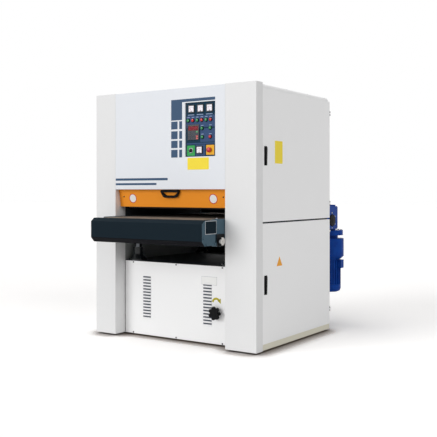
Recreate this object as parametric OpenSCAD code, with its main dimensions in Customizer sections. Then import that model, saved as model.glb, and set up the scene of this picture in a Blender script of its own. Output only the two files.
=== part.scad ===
// Wide-belt sanding machine with three belt heads over a rising feed table.
// X runs across the feed, Y runs with the feed from front to rear, Z is up.
// The origin is on the floor, under the middle of the machine's overall box.

/* [Cabinet] */
// Width of the left front column
column_left_w = 217; // [190:1:250]
// Width of the right front column
column_right_w = 278; // [250:1:320]
// Depth of the columns' outer sides
column_side_d = 93; // [75:1:105]
// Thickness of the covers' sheet steel
sheet = 3; // [2.5:0.5:4]
// Thickness of the side frames' plate
frame_plate = 16; // [12:1:20]

/* [Doors] */
// Depth of a door pan
door_t = 22; // [18:1:26]
// Height of the line that parts the upper and lower doors
door_split_z = 981; // [860:1:1100]
// Gap between the upper and lower doors
door_gap = 13; // [8:1:20]
// Height of a hinge
hinge_h = 38; // [30:1:50]
// Length of a latch handle
latch_len = 138; // [110:1:160]

/* [Feed table] */
// Width of the feed belt, which is the machine's working width
feed_belt_w = 1000; // [850:10:1150]
// Thickness of the feed belt
feed_belt_t = 4; // [3:0.5:5]
// Radius of the feed belt's two rollers
feed_roller_r = 45; // [40:1:50]
// Reach of the front guard ahead of the cabinet
guard_reach = 301; // [270:1:340]
// Distance of the feed drive roller behind the cabinet
outfeed_reach = 159; // [140:1:190]
// Diameter of the lifting rams
ram_d = 60; // [50:1:70]

/* [Sanding heads] */
// Distance between neighbouring heads
head_pitch = 330; // [300:1:380]
// Radius of a contact drum
contact_r = 100; // [90:1:115]
// Radius of a tension roller
tension_r = 75; // [65:1:85]
// Distance from contact drum to tension roller
head_rise = 725; // [650:1:820]
// Opening over the feed belt as stored
rest_opening = 70.6; // [66:0.1:85]
// Thickness of a sanding belt
sanding_belt_t = 2; // [1.5:0.5:3]
// Radius of a drum's drive pulley
drum_pulley_r = 70; // [60:1:80]
// Radius of a motor's pulley
motor_pulley_r = 83; // [75:1:95]
// Radius of a main motor
motor_r = 120; // [105:1:135]

/* [Front panels] */
// Width of the control recess
control_w = 289; // [270:1:320]
// Height of the control recess
control_h = 426; // [400:1:460]
// Depth of the control recess
control_recess = 13; // [11:1:15]
// Diameter of a push button
button_d = 23; // [20:1:26]
// Travel of a push button
button_travel = 3; // [2:0.5:4]

/* [Feed drive unit] */
// Width of the worm box
worm_box_w = 140; // [120:1:160]
// Radius of the variable-speed stage
variator_r = 123; // [110:1:140]
// Radius of the feed motor
feed_motor_r = 96; // [84:1:110]

/* [Hidden] */

// Overrun of every cut past the surface it leaves
over = 2;
// Radial clearance of shafts that run in their own bores
run_fit = 0.05;
// Gap between parts of different bodies that must not touch
gap = 0.4;
// Seam between neighbouring covers
seam = 0.8;

// Smoothness of round parts
fine = 96;
medium = 48;

// Widths, from the feed belt out to the columns
table_margin = 50;
table_side_gap = 5.5;
drum_spare = 10;
table_w = feed_belt_w + 2 * table_margin;
open_w = table_w + 2 * table_side_gap;
cabinet_w = open_w + column_left_w + column_right_w;
half_w = cabinet_w / 2;
open_x0 = -half_w + column_left_w;
open_x1 = half_w - column_right_w;
mid_x = (open_x0 + open_x1) / 2;
drum_len = feed_belt_w + 2 * drum_spare;

// Depths, measured from the columns' front plane until the last shift
head_count = 3;
panel_setback = 122;
frame_y = panel_setback + sheet;
deck_leg_w = 48;
motor_leg_clear = 3;
motor_bay_d = frame_y + deck_leg_w + motor_leg_clear + motor_r;
cabinet_d = (head_count - 1) * head_pitch + 2 * motor_bay_d;
head_mid_y = cabinet_d / 2;
drive_roller_y = cabinet_d + outfeed_reach;
worm_centre_d = 110;
worm_axis_y = drive_roller_y + worm_centre_d;
overall_d = guard_reach + worm_axis_y + variator_r;
front_y = guard_reach - overall_d / 2;

// Floor and base
foot_h = 15;
foot_pad_h = 8;
foot_pad_r = 38;
foot_nut_r = 18;
foot_stem_r = 8;
foot_stem_h = 28;
base_rail_w = 120;
base_rail_h = 45;
base_inset = 8;
base_top_z = foot_h + base_rail_h;
base_rail_x = half_w - base_inset - base_rail_w / 2;
anchor_r = 9;
anchor_inset = 260;
rear_cover_t = 8;
frame_rear_y = cabinet_d - rear_cover_t;
foot_rows = [frame_y + foot_pad_r, (frame_y + frame_rear_y) / 2, frame_rear_y - foot_pad_r];
anchor_rows = [frame_y + anchor_inset, frame_rear_y - anchor_inset];

// Heights, from the motors up through the deck, the table and the heads to the roof
bearer_w = 60;
bearer_stand_h = 90;
bearer_top_z = base_top_z + bearer_stand_h;
motor_foot_h = 30;
motor_axis_z = bearer_top_z + motor_foot_h + motor_r;
motor_box_len = 120;
motor_box_w = 110;
motor_box_h = 46;
bay_clear = 94;
deck_beam_h = 60;
deck_plate_t = 12;
deck_z = motor_axis_z + motor_r + motor_box_h + bay_clear + deck_beam_h + deck_plate_t;
deck_rise = 3;
lower_panel_z = deck_z - deck_rise;
lift_tube_h = 110;
lift_down_room = 46;
ram_head_t = 18;
cross_beam_h = 99;
cross_beam_w = 110;
cross_beam_z = deck_z + lift_tube_h + lift_down_room + ram_head_t;
cross_beam_top_z = cross_beam_z + cross_beam_h;
beam_clear = 3.2;
beam_bite = 8;
rail_rise = 3;
loop_h = 2 * (feed_roller_r + gap + feed_belt_t);
belt_top_z = cross_beam_top_z + beam_clear + loop_h;
rail_top_z = belt_top_z + rail_rise;
rail_bottom_z = cross_beam_top_z - beam_bite;
conveyor_z = belt_top_z - loop_h / 2;
sanding_z = belt_top_z + rest_opening;
contact_z = sanding_z + sanding_belt_t + gap + contact_r;
tension_z = contact_z + head_rise;
head_clear = 60;
cabinet_h = tension_z + tension_r + head_clear;
upper_panel_rise = 55;
upper_panel_z = contact_z + upper_panel_rise;

// Side frames
web_t = 8;
door_inset = 3;
door_clear = 4;
door_x = half_w - door_inset;
web_x = door_x - door_t - door_clear;
frame_drop = 35;
frame_top_z = cabinet_h - frame_drop;
mid_rail_h = 40;
mid_rail_t = 18;

// Hinges and door edges
hinge_pin_r = 3.5;
hinge_barrel_r = 6;
hinge_leaf_t = 4;
hinge_leaf_w = 41;
hinge_top_inset = 102;
hinge_bottom_inset = 127;
hinge_edge = 1;
hinge_x = half_w - hinge_barrel_r;
hinge_y = cabinet_d - door_inset;
knuckle_h = (hinge_h - 2 * gap) / 3;
door_edge = 2;
door_drop = 37;
door_y0 = column_side_d + door_edge;
door_y1 = hinge_y - hinge_barrel_r - hinge_edge;
door_bottom_z = base_top_z + door_edge;
door_top_z = cabinet_h - door_drop;
lower_door_z = [door_bottom_z, door_split_z - door_gap / 2];
upper_door_z = [door_split_z + door_gap / 2, door_top_z];

// Latches
latch_w = 28;
latch_tip_w = 20;
latch_t = 8;
latch_y = 141;
latch_upper_rise = 562;
latch_lower_rise = 501;
latch_upper_z = door_split_z + latch_upper_rise;
latch_lower_z = door_bottom_z + latch_lower_rise;
latch_bevel = 6;
latch_spindle_r = 7;
latch_boss_r = 13;
latch_boss_len = 8;
latch_cam_w = 20;
latch_cam_len = 36;
latch_cam_t = 5;
latch_cam_gap = 3;

// Front panels
upper_panel_t = 20;
upper_panel_drop = 3;
upper_panel_top_z = cabinet_h - upper_panel_drop;
control_side_margin = 92;
control_top_margin = 120;
control_x0 = open_x1 - control_side_margin - control_w;
control_z0 = upper_panel_top_z - control_top_margin - control_h;
control_plate_t = 3;
louvre_len = 84;
louvre_pitch = 25.5;
louvre_count = 14;
louvre_h = 12;
louvre_proud = 5;
louvre_lip = 1;
louvre_left_inset = 243;
louvre_right_inset = 249;
louvre_left_x = open_x0 + louvre_left_inset;
louvre_right_x = open_x1 - louvre_right_inset;
louvre_z0 = 150;

// Controls, placed as shares of the recess's width and height from its lower left corner
button_place_shares = [
    [0.0855, 0.670], [0.2377, 0.670], [0.3865, 0.670], [0.5353, 0.670], [0.6806, 0.670],
    [0.826, 0.670], [0.5457, 0.517], [0.8156, 0.517], [0.556, 0.357], [0.8156, 0.357]
];
button_is_green = [true, false, true, false, true, false, true, true, true, false];
meter_place_shares = [[0.193, 0.884], [0.497, 0.884], [0.798, 0.884], [0.461, 0.122]];
knob_place_shares = [0.172, 0.117];
stop_place_shares = [0.788, 0.117];
readout_place_shares = [0.262, 0.450];
bezel_wall = 4;
bezel_r = button_d / 2 + bezel_wall;
bezel_t = 4;
button_rim = 2;
button_proud = button_travel + button_rim;
button_lip = 2.5;
button_flange_r = button_d / 2 + button_lip;
button_flange_t = 3;
collar_r = 17;
collar_t = 3;
knob_r = 15;
knob_len = 14;
knob_bar_w = 9;
knob_bar_h = 7;
knob_spindle_r = 6;
stop_r = 20;
stop_head_t = 12;
stop_crown = 5;
stop_stem_r = 10;
stop_travel = 5;
meter_w = 60;
meter_t = 8;
meter_face_w = 48;
meter_face_d = 2;
readout_w = 108;
readout_h = 120;
readout_t = 6;
readout_window_h = 34;
readout_edge = 8;
readout_window_d = 2;

// Infeed flap, drawn about its pivot and then tilted
flap_t = 2.5;
flap_pivot_y = 60;
flap_pivot_rise = 11;
flap_pivot_z = upper_panel_z + flap_pivot_rise;
flap_tilt = 7.5;
flap_standoff = 14.75;
flap_drop = 13.4;
flap_len = flap_pivot_z - sanding_z - flap_drop;
flap_rise = 8;
flap_lip = 12;
flap_shaft_r = 8;
flap_side_gap = 2;
flap_lug_t = 10;
flap_lug_drop = 14;
flap_boss_r = 15;
flap_boss_t = 9;
handle_top_w = 190;
handle_bottom_w = 125;
handle_h = 62;
handle_bar = 17;
handle_depth = 22;
handle_drop = 13;
handle_corner = 9;

// Feed table
table_x0 = mid_x - table_w / 2;
table_x1 = mid_x + table_w / 2;
rail_t = 12;
idler_back = 106;
idler_y = idler_back - guard_reach;
rail_tail = 64;
rail_end_y = drive_roller_y + rail_tail;
rail_step_back = 72;
rail_rise_back = 50;
rail_step_y = idler_y + rail_step_back;
rail_rise_y = idler_y + rail_rise_back;
journal_r = 20;
journal_proud = 4;
idler_journal_r = 15;
roller_spare = 10;
guard_front_y = -guard_reach;
guard_chamfer_y = 35;
guard_drop = 2;
guard_top_z = belt_top_z - guard_drop;
guard_top_chamfer = 27;
guard_h = 194;
guard_bottom_z = guard_top_z - guard_h;
guard_bottom_chamfer = 36;
guard_top_lip = 42;
guard_bottom_lip = 100;
bed_plate_t = 12;
bed_clear = 20;
bed_under_clear = 6.8;
bed_depth = 2 * (feed_roller_r + gap) - bed_under_clear;
bed_rib_t = 10;
bed_rib_count = 5;
take_up_r = 33;
take_up_back = 138;
take_up_y = idler_y + take_up_back;
take_up_drop = 65;
take_up_len = 70;
take_up_w = 44;

// Lifting columns
lift_side = 80.5;
lift_dx = open_w / 2 - lift_side;
lift_inset = 75;
lift_rows = [frame_y + lift_inset, frame_rear_y - lift_inset];
lift_tube_r = 42;
lift_flange_r = 78;
lift_flange_t = 12;
lift_flare_h = 42;
flare_shoulder_share = 0.86;
flare_waist_share = 0.68;
ram_tail = 47;
ram_bottom_z = deck_z - ram_tail;
ram_head_r = 46;

// Feed drive unit
worm_box_reach = 120;
worm_box_y0 = drive_roller_y - worm_box_reach;
worm_box_y1 = drive_roller_y + worm_box_reach;
worm_box_drop = 130;
worm_box_h = 207;
worm_box_z0 = belt_top_z - worm_box_drop;
worm_box_z1 = worm_box_z0 + worm_box_h;
worm_box_bevel = 12;
worm_box_out = 215;
worm_box_x1 = open_x1 + worm_box_out;
worm_box_x0 = worm_box_x1 - worm_box_w;
worm_axis_x = worm_box_x1 - worm_box_w / 2;
worm_bulge_r = 48;
worm_cap_t = 12;
drive_flange_r = 116;
drive_flange_t = 45;
drive_flange_drop = 57;
drive_flange_z = worm_box_z0 - drive_flange_drop;
neck_r = 70;
neck_h = 30;
variator_h = 183;
variator_z1 = drive_flange_z - neck_h;
variator_z0 = variator_z1 - variator_h;
variator_chamfer = 24;
feed_motor_len = 302;
feed_motor_z = variator_z0 - feed_motor_len;
feed_motor_round = 30;
corner_share = 0.3;
feed_fin_count = 24;
feed_fin_t = 4;
feed_fin_h = 9;
feed_cowl_h = 70;
feed_terminal_w = 60;
feed_terminal_d = 34;
feed_terminal_h = 74;
torque_arm_reach = 99;
torque_arm_y0 = drive_roller_y - torque_arm_reach;
torque_arm_w = 60;
torque_arm_h = 80;
torque_arm_drop = 102;
torque_arm_z0 = belt_top_z - torque_arm_drop;
shaft_cap_r = 37;
shaft_cap_t = 6;

// Sanding heads
drum_x0 = mid_x - drum_len / 2;
drum_x1 = mid_x + drum_len / 2;
drum_wall = 14;
drum_recess = 22;
drum_journal_r = 22;
tension_journal_r = 15;
cheek_t = 20;
cheek_w = 104;
cheek_end_r = 56;
cheek_clear = 6;
cheek_left_x = open_x0 + cheek_clear;
cheek_right_x = open_x1 - cheek_t;
beam_w = 92;
beam_h = 170;
beam_flange_t = 16;
beam_low_room = 50;
beam_high_room = 210;
beam_rise = contact_r + beam_low_room;
beam_upper_rise = head_rise - tension_r - beam_high_room;
window_margin = 10;
window_front_y = head_y(0) - contact_r - window_margin;
window_rear_y = head_y(head_count - 1) + contact_r + window_margin;
window_drop = contact_r + window_margin;
window_top_margin = 15;
window_rise = tension_r + window_top_margin;
shaft_hole_r = 40;
loop_steps = 24;

// Main drives
pulley_out = 71;
pulley_x = open_x1 + pulley_out;
belts_each = 3;
groove_pitch = 22;
pulley_side = 12;
pulley_w = (belts_each - 1) * groove_pitch + 2 * pulley_side;
groove_top_w = 17;
groove_bottom_w = 11;
groove_d = 12;
v_belt_h = 9;
v_belt_top_w = 15;
v_belt_bottom_w = 10.5;
v_belt_sink = 1;
v_steps = 10;
motor_len = 480;
motor_clear = 20;
motor_x1 = open_x1 - motor_clear;
motor_shaft_r = 21;
motor_shaft_grip = 60;
motor_fin_count = 28;
motor_fin_t = 5;
motor_fin_h = 10;
motor_end_len = 50;
motor_foot_w = 190;
motor_foot_inset = 95;
motor_foot_len = 300;
motor_foot_x0 = motor_x1 - motor_foot_inset - motor_foot_len;

// Pressure rollers
pressure_r = 38;
pressure_drop = 2;
pressure_z = sanding_z - pressure_drop + pressure_r;
pressure_journal_r = 15;
pressure_front_room = 13;
pressure_rear_room = 16;
pressure_front_y = head_y(0) - contact_r - pressure_r - pressure_front_room;
pressure_rear_y = head_y(head_count - 1) + contact_r + pressure_r + pressure_rear_room;
pressure_rows = [pressure_front_y, pressure_rear_y];

// Handwheel on the lower panel
wheel_inset = 157;
wheel_x = open_x1 - wheel_inset;
wheel_z = 262;
wheel_r = 54;
wheel_t = 18;
wheel_lobes = 7;
wheel_lobe_r = 15;
wheel_hub_r = 20;
wheel_proud = 45;
wheel_shaft_r = 8;
wheel_shaft_tail = 22;
wheel_bush_r = 17;
wheel_bush_len = 10;
wheel_grip_r = 8;
wheel_grip_len = 24;

// Roof and rear covers
roof_inset = 10;
roof_drop = 8;
roof_top_z = cabinet_h - roof_drop;
roof_lip = 26;
roof_bevel = 12;
roof_short = 25;
roof_rear_y = cabinet_d - roof_short;
rear_cover_inset = 22;
rear_cover_x = web_x - rear_cover_inset;
port_r = 75;
port_wall = 3;
port_len = 60;
port_drop = 205;
port_z = tension_z - port_drop;

// Moves a part from the columns' front plane to the machine's own origin
module from_front() {
    translate([0, front_y, 0]) children();
}

// A box given by its lowest and highest corners
module block(low, high) {
    translate(low) cube(high - low);
}

// Cylinders along X, Y and Z that start at a place
module rod_x(place, r, len, smooth = medium) {
    translate(place) rotate([0, 90, 0]) cylinder(r = r, h = len, $fn = smooth);
}

module rod_y(place, r, len, smooth = medium) {
    translate(place) rotate([-90, 0, 0]) cylinder(r = r, h = len, $fn = smooth);
}

module rod_z(place, r, len, smooth = medium) {
    translate(place) cylinder(r = r, h = len, $fn = smooth);
}

// A profile of radius and place along X, turned about an axis through a place
module turned_x(place, smooth = fine) {
    translate(place) rotate([90, 0, 90]) rotate_extrude($fn = smooth) children();
}

// An outline drawn as Y and Z, stretched along X between two places
module across(x0, x1) {
    translate([x0, 0, 0]) rotate([90, 0, 90]) linear_extrude(height = x1 - x0) children();
}

// An outline drawn as X and Z, stretched towards the rear between two places
module along(y0, y1) {
    translate([0, y1, 0]) rotate([90, 0, 0]) linear_extrude(height = y1 - y0) children();
}

// One length of a direction, and its left-hand normal
function unit(v) = v / norm(v);
function left_of(v) = [-v.y, v.x];

// The point beside corner i of a path, a thickness t to its left
function mitre(path, i, t) =
    let (last = len(path) - 1)
    let (before = unit(i == 0 ? path[1] - path[0] : path[i] - path[i - 1]))
    let (after = i == last ? before : unit(path[i + 1] - path[i]))
    let (normal = unit(left_of(before) + left_of(after)))
    path[i] + normal * t / (normal * left_of(before));

// The inside of a sheet bent along a path, and the outline of the whole sheet
function inside_path(path, t) = [for (i = [0 : len(path) - 1]) mitre(path, i, t)];
function bent_sheet(path, t) = concat(path, [for (i = [len(path) - 1 : -1 : 0]) mitre(path, i, t)]);

// Outline of a belt round a lower circle at the origin and an upper one a rise above it
function belt_outline(r_low, r_high, rise, steps) =
    let (lean = asin((r_low - r_high) / rise))
    concat(
        [for (i = [0 : steps]) let (a = lean + (180 - 2 * lean) * i / steps)
            [r_high * cos(a), rise + r_high * sin(a)]],
        [for (i = [0 : steps]) let (a = 180 - lean + (180 + 2 * lean) * i / steps)
            [r_low * cos(a), r_low * sin(a)]]
    );

// A closed belt as a flat band between two outlines
module belt_band(r_low, r_high, rise, t) {
    difference() {
        polygon(belt_outline(r_low + t, r_high + t, rise, loop_steps));
        polygon(belt_outline(r_low, r_high, rise, loop_steps));
    }
}

// Steel base: foot rails, cross rails, legs, deck and motor bearers in one weldment
module base_frame() {
    outer_x = base_rail_x + base_rail_w / 2;
    beam_z = deck_z - deck_plate_t - deck_beam_h;
    color("darkkhaki") from_front() difference() {
        union() {
            for (side = [-1, 1]) {
                block([side * base_rail_x - base_rail_w / 2, column_side_d, foot_h],
                    [side * base_rail_x + base_rail_w / 2, frame_rear_y, base_top_z]);
            }
            for (y = [frame_y, frame_rear_y - base_rail_w]) {
                block([-outer_x, y, foot_h], [outer_x, y + base_rail_w, base_top_z]);
            }
            for (x = [open_x0, open_x1 - deck_leg_w]) {
                for (y = [frame_y, frame_rear_y - deck_leg_w]) {
                    block([x, y, foot_h], [x + deck_leg_w, y + deck_leg_w, deck_z]);
                }
            }
            block([open_x0, frame_y, deck_z - deck_plate_t], [open_x1, frame_rear_y, deck_z]);
            for (y = [frame_y, frame_rear_y - deck_plate_t]) {
                block([open_x0, y, beam_z], [open_x1, y + deck_plate_t, deck_z]);
            }
            for (x = [open_x0, open_x1 - deck_plate_t]) {
                block([x, frame_y, beam_z], [x + deck_plate_t, frame_rear_y, deck_z]);
            }
            for (x = [motor_foot_x0, motor_foot_x0 + motor_foot_len - bearer_w]) {
                block([x, frame_y, foot_h], [x + bearer_w, frame_rear_y, bearer_top_z]);
            }
        }
        for (side = [-1, 1]) {
            for (y = lift_rows) {
                rod_z([mid_x + side * lift_dx, y, deck_z - deck_plate_t - over], ram_d / 2 + over,
                    deck_plate_t + 2 * over);
            }
            for (y = anchor_rows) {
                rod_z([side * base_rail_x, y, foot_h - over], anchor_r, base_rail_h + 2 * over);
            }
            for (y = foot_rows) {
                rod_z([side * base_rail_x, y, foot_h - over], foot_stem_r + gap, base_rail_h + 2 * over);
            }
        }
    }
}

// Six levelling feet: pad, hexagon nut against the foot rail, and stem in its hole
module levelling_feet() {
    color("dimgray") from_front() for (side = [-1, 1]) {
        for (y = foot_rows) {
            rod_z([side * base_rail_x, y, 0], foot_pad_r, foot_pad_h);
            rod_z([side * base_rail_x, y, foot_pad_h], foot_nut_r, foot_h - foot_pad_h, 6);
            rod_z([side * base_rail_x, y, foot_pad_h], foot_stem_r, foot_h - foot_pad_h + foot_stem_h);
        }
    }
}

function head_y(i) = head_mid_y + (i - (head_count - 1) / 2) * head_pitch;

// Two welded side frames: a windowed or bored plate with webs and a rail out to the doors
module side_frames() {
    color("gainsboro") from_front() {
        side_frame_left();
        side_frame_right();
    }
}

// Webs and mid rail of a side frame, from its plate out to the doors
module side_webs(side, plate_x) {
    near_x = min(side * web_x, plate_x);
    far_x = max(side * web_x, plate_x);
    rail_x = side > 0 ? web_x - mid_rail_t : -web_x;
    for (y = [frame_y, frame_rear_y - web_t]) {
        block([near_x, y, base_top_z], [far_x, y + web_t, frame_top_z]);
    }
    block([rail_x, frame_y, door_split_z - mid_rail_h / 2],
        [rail_x + mid_rail_t, frame_rear_y, door_split_z + mid_rail_h / 2]);
}

module side_frame_left() {
    plate_x = open_x0 - frame_plate;
    difference() {
        union() {
            block([plate_x, frame_y, base_top_z], [open_x0, frame_rear_y, frame_top_z]);
            side_webs(-1, plate_x);
        }
        block([plate_x - over, window_front_y, contact_z - window_drop],
            [open_x0 + over, window_rear_y, tension_z + window_rise]);
        pressure_bores(plate_x);
    }
}

module side_frame_right() {
    difference() {
        union() {
            block([open_x1, frame_y, base_top_z], [open_x1 + frame_plate, frame_rear_y, frame_top_z]);
            side_webs(1, open_x1 + frame_plate);
        }
        for (i = [0 : head_count - 1]) {
            for (z = [contact_z, motor_axis_z]) {
                rod_x([open_x1 - over, head_y(i), z], shaft_hole_r, frame_plate + 2 * over);
            }
        }
        pressure_bores(open_x1);
    }
}

// Bores of the pressure rollers' journals in a side plate
module pressure_bores(plate_x) {
    for (y = pressure_rows) {
        rod_x([plate_x - over, y, pressure_z], pressure_journal_r + run_fit, frame_plate + 2 * over);
    }
}

// A front column: a bent sheet with a closed top, an open back and a bush for the flap
module front_column(side) {
    inner_x = side < 0 ? open_x0 : open_x1;
    x0 = min(side * half_w, inner_x);
    x1 = max(side * half_w, inner_x);
    bush_x = side < 0 ? inner_x - sheet - flap_boss_t : inner_x + sheet;
    difference() {
        union() {
            difference() {
                block([x0, 0, foot_h], [x1, frame_y, cabinet_h]);
                block([x0 + sheet, sheet, foot_h - over], [x1 - sheet, frame_y + over, cabinet_h - sheet]);
                block([min(side * (half_w + over), inner_x + side * sheet), column_side_d, foot_h - over],
                    [max(side * (half_w + over), inner_x + side * sheet), frame_y + over, cabinet_h + over]);
                block([x0 - over, column_side_d, frame_top_z],
                    [x1 + over, frame_y + over, cabinet_h + over]);
            }
            rod_x([bush_x, flap_pivot_y, flap_pivot_z], flap_boss_r, flap_boss_t);
        }
        rod_x([inner_x - sheet - flap_boss_t - over, flap_pivot_y, flap_pivot_z],
            flap_shaft_r + run_fit, 2 * (sheet + flap_boss_t + over));
    }
}

module front_column_left() {
    color("whitesmoke") from_front() front_column(-1);
}

module front_column_right() {
    color("whitesmoke") from_front() front_column(1);
}

// Roof pan with bevelled edges, standing on flanges over the side frames
module roof_cover() {
    roof_x = door_x - roof_inset;
    path = [
        [-roof_x, roof_top_z - roof_lip], [-roof_x, roof_top_z - roof_bevel],
        [-roof_x + roof_bevel, roof_top_z], [roof_x - roof_bevel, roof_top_z],
        [roof_x, roof_top_z - roof_bevel], [roof_x, roof_top_z - roof_lip]
    ];
    color("gainsboro") from_front() {
        along(column_side_d + seam, roof_rear_y) polygon(bent_sheet(path, -sheet));
        block([open_x0 + seam, upper_panel_t + seam, roof_top_z - sheet],
            [open_x1 - seam, frame_y, roof_top_z]);
        for (y = [frame_y + seam, roof_rear_y - sheet]) {
            block([-web_x, y, frame_top_z], [web_x, y + sheet, roof_top_z - sheet / 2]);
        }
    }
}

function port_x(i) = mid_x + (i - (head_count - 1) / 2) * head_pitch;

// Upper rear cover: a portal round the outfeed, with three dust outlets
module rear_cover_upper() {
    color("gainsboro") from_front() difference() {
        union() {
            along(frame_rear_y, cabinet_d) difference() {
                translate([-rear_cover_x, lower_panel_z + seam])
                    square([2 * rear_cover_x, frame_top_z - lower_panel_z - seam]);
                translate([open_x0, lower_panel_z]) square([open_w, upper_panel_z - lower_panel_z]);
            }
            block([-rear_cover_x, roof_rear_y + seam, frame_top_z],
                [rear_cover_x, cabinet_d, frame_top_z + sheet]);
            for (i = [0 : head_count - 1]) {
                rod_y([port_x(i), frame_rear_y, port_z], port_r + port_wall, rear_cover_t + port_len, fine);
            }
        }
        for (i = [0 : head_count - 1]) {
            rod_y([port_x(i), frame_rear_y - over, port_z], port_r,
                rear_cover_t + port_len + 2 * over, fine);
        }
    }
}

// Lower rear cover with two banks of louvres
module rear_cover_lower() {
    color("gainsboro") from_front() {
        difference() {
            block([-rear_cover_x, frame_rear_y, foot_h], [rear_cover_x, cabinet_d, lower_panel_z]);
            for (x = [louvre_left_x, louvre_right_x]) louvre_slots(x, frame_rear_y - over, cabinet_d + over);
        }
        translate([0, cabinet_d, 0]) mirror([0, 1, 0]) {
            for (x = [louvre_left_x, louvre_right_x]) louvre_hoods(x, 0);
        }
    }
}

// Slots of a louvre bank, cut between two depths
module louvre_slots(x, y0, y1) {
    for (i = [0 : louvre_count - 1]) {
        z = louvre_z0 + i * louvre_pitch;
        block([x - louvre_len / 2, y0, z], [x + louvre_len / 2, y1, z + louvre_h / 2]);
    }
}

// Hoods of a louvre bank, standing proud of a face and open below
module louvre_hoods(x, face_y) {
    for (i = [0 : louvre_count - 1]) {
        z = louvre_z0 + i * louvre_pitch;
        front = face_y - louvre_proud;
        across(x - louvre_len / 2, x + louvre_len / 2) polygon([
            [face_y, z + louvre_h], [front, z + louvre_h / 3], [front, z],
            [front + louvre_lip, z], [face_y, z + louvre_h / 2]
        ]);
    }
}

// Upper front panel: a pan with a walled opening for the controls
module front_panel_upper() {
    x0 = open_x0 + seam;
    x1 = open_x1 - seam;
    control_x1 = control_x0 + control_w;
    control_z1 = control_z0 + control_h;
    color("aliceblue") from_front() difference() {
        block([x0, 0, upper_panel_z], [x1, upper_panel_t, upper_panel_top_z]);
        difference() {
            block([x0 + sheet, sheet, upper_panel_z + sheet],
                [x1 - sheet, upper_panel_t + over, upper_panel_top_z - sheet]);
            block([control_x0 - sheet, 0, control_z0 - sheet],
                [control_x1 + sheet, upper_panel_t, control_z1 + sheet]);
        }
        block([control_x0, -over, control_z0], [control_x1, upper_panel_t + over, control_z1]);
    }
}

// Lower front panel with two banks of louvres and the handwheel's bush
module front_panel_lower() {
    color("whitesmoke") from_front() {
        difference() {
            union() {
                block([open_x0 + seam, panel_setback, foot_h], [open_x1 - seam, frame_y, lower_panel_z]);
                rod_y([wheel_x, panel_setback - wheel_bush_len, wheel_z], wheel_bush_r,
                    wheel_bush_len + sheet);
            }
            rod_y([wheel_x, panel_setback - wheel_bush_len - over, wheel_z], wheel_shaft_r + run_fit,
                wheel_bush_len + sheet + 2 * over);
            for (x = [louvre_left_x, louvre_right_x]) louvre_slots(x, panel_setback - over, frame_y + over);
        }
        for (x = [louvre_left_x, louvre_right_x]) louvre_hoods(x, panel_setback);
    }
}

// Heights of the two hinges of a door
function hinge_places(span) = [span[0] + hinge_bottom_inset, span[1] - hinge_top_inset];

// Fixed halves of the hinges, each with its pin
module hinge_brackets() {
    color("silver") from_front() {
        for (span = [upper_door_z, lower_door_z]) for (z = hinge_places(span)) fixed_hinge(z);
        mirror([1, 0, 0]) for (z = hinge_places(upper_door_z)) fixed_hinge(z);
    }
}

module fixed_hinge(z) {
    z0 = z - hinge_h / 2;
    middle_z = z0 + knuckle_h + gap;
    difference() {
        block([hinge_x - hinge_leaf_w, frame_rear_y, z0],
            [hinge_x, frame_rear_y + hinge_leaf_t, z0 + hinge_h]);
        block([hinge_x - hinge_barrel_r - over, frame_rear_y - over, middle_z - gap],
            [hinge_x + over, frame_rear_y + hinge_leaf_t + over, middle_z + knuckle_h + gap]);
    }
    for (start = [z0, z0 + 2 * (knuckle_h + gap)]) {
        rod_z([hinge_x, hinge_y, start], hinge_barrel_r, knuckle_h);
    }
    rod_z([hinge_x, hinge_y, z0], hinge_pin_r, hinge_h);
}

// A cover pan on the right side: outer skin with returned edges, open inwards
module side_pan(span, depth) {
    difference() {
        block([door_x - depth, door_y0, span[0]], [door_x, door_y1, span[1]]);
        block([door_x - depth - over, door_y0 + sheet, span[0] + sheet],
            [door_x - sheet, door_y1 - sheet, span[1] - sheet]);
    }
}

// A door on the right side, with its knuckles and the latch's bush
module side_door(span, latch_z) {
    difference() {
        union() {
            side_pan(span, door_t);
            for (z = hinge_places(span)) {
                block([door_x - sheet, door_y1 - sheet, z - knuckle_h / 2],
                    [door_x, hinge_y, z + knuckle_h / 2]);
                rod_z([hinge_x, hinge_y, z - knuckle_h / 2], hinge_barrel_r, knuckle_h);
            }
            rod_x([door_x - sheet - latch_boss_len, latch_y, latch_z], latch_boss_r, latch_boss_len + sheet);
        }
        for (z = hinge_places(span)) {
            rod_z([hinge_x, hinge_y, z - hinge_h / 2], hinge_pin_r + run_fit, hinge_h);
        }
        rod_x([door_x - door_t, latch_y, latch_z], latch_spindle_r + run_fit, door_t + over);
    }
}

module door_right_upper() {
    color("gainsboro") from_front() side_door(upper_door_z, latch_upper_z);
}

module door_right_lower() {
    color("gainsboro") from_front() side_door(lower_door_z, latch_lower_z);
}

module door_left_upper() {
    color("gainsboro") from_front() mirror([1, 0, 0]) side_door(upper_door_z, latch_upper_z);
}

// Fixed cover below the left door, seated on the side frame
module cover_left_lower() {
    color("gainsboro") from_front() mirror([1, 0, 0]) side_pan(lower_door_z, door_t + door_clear);
}

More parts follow.
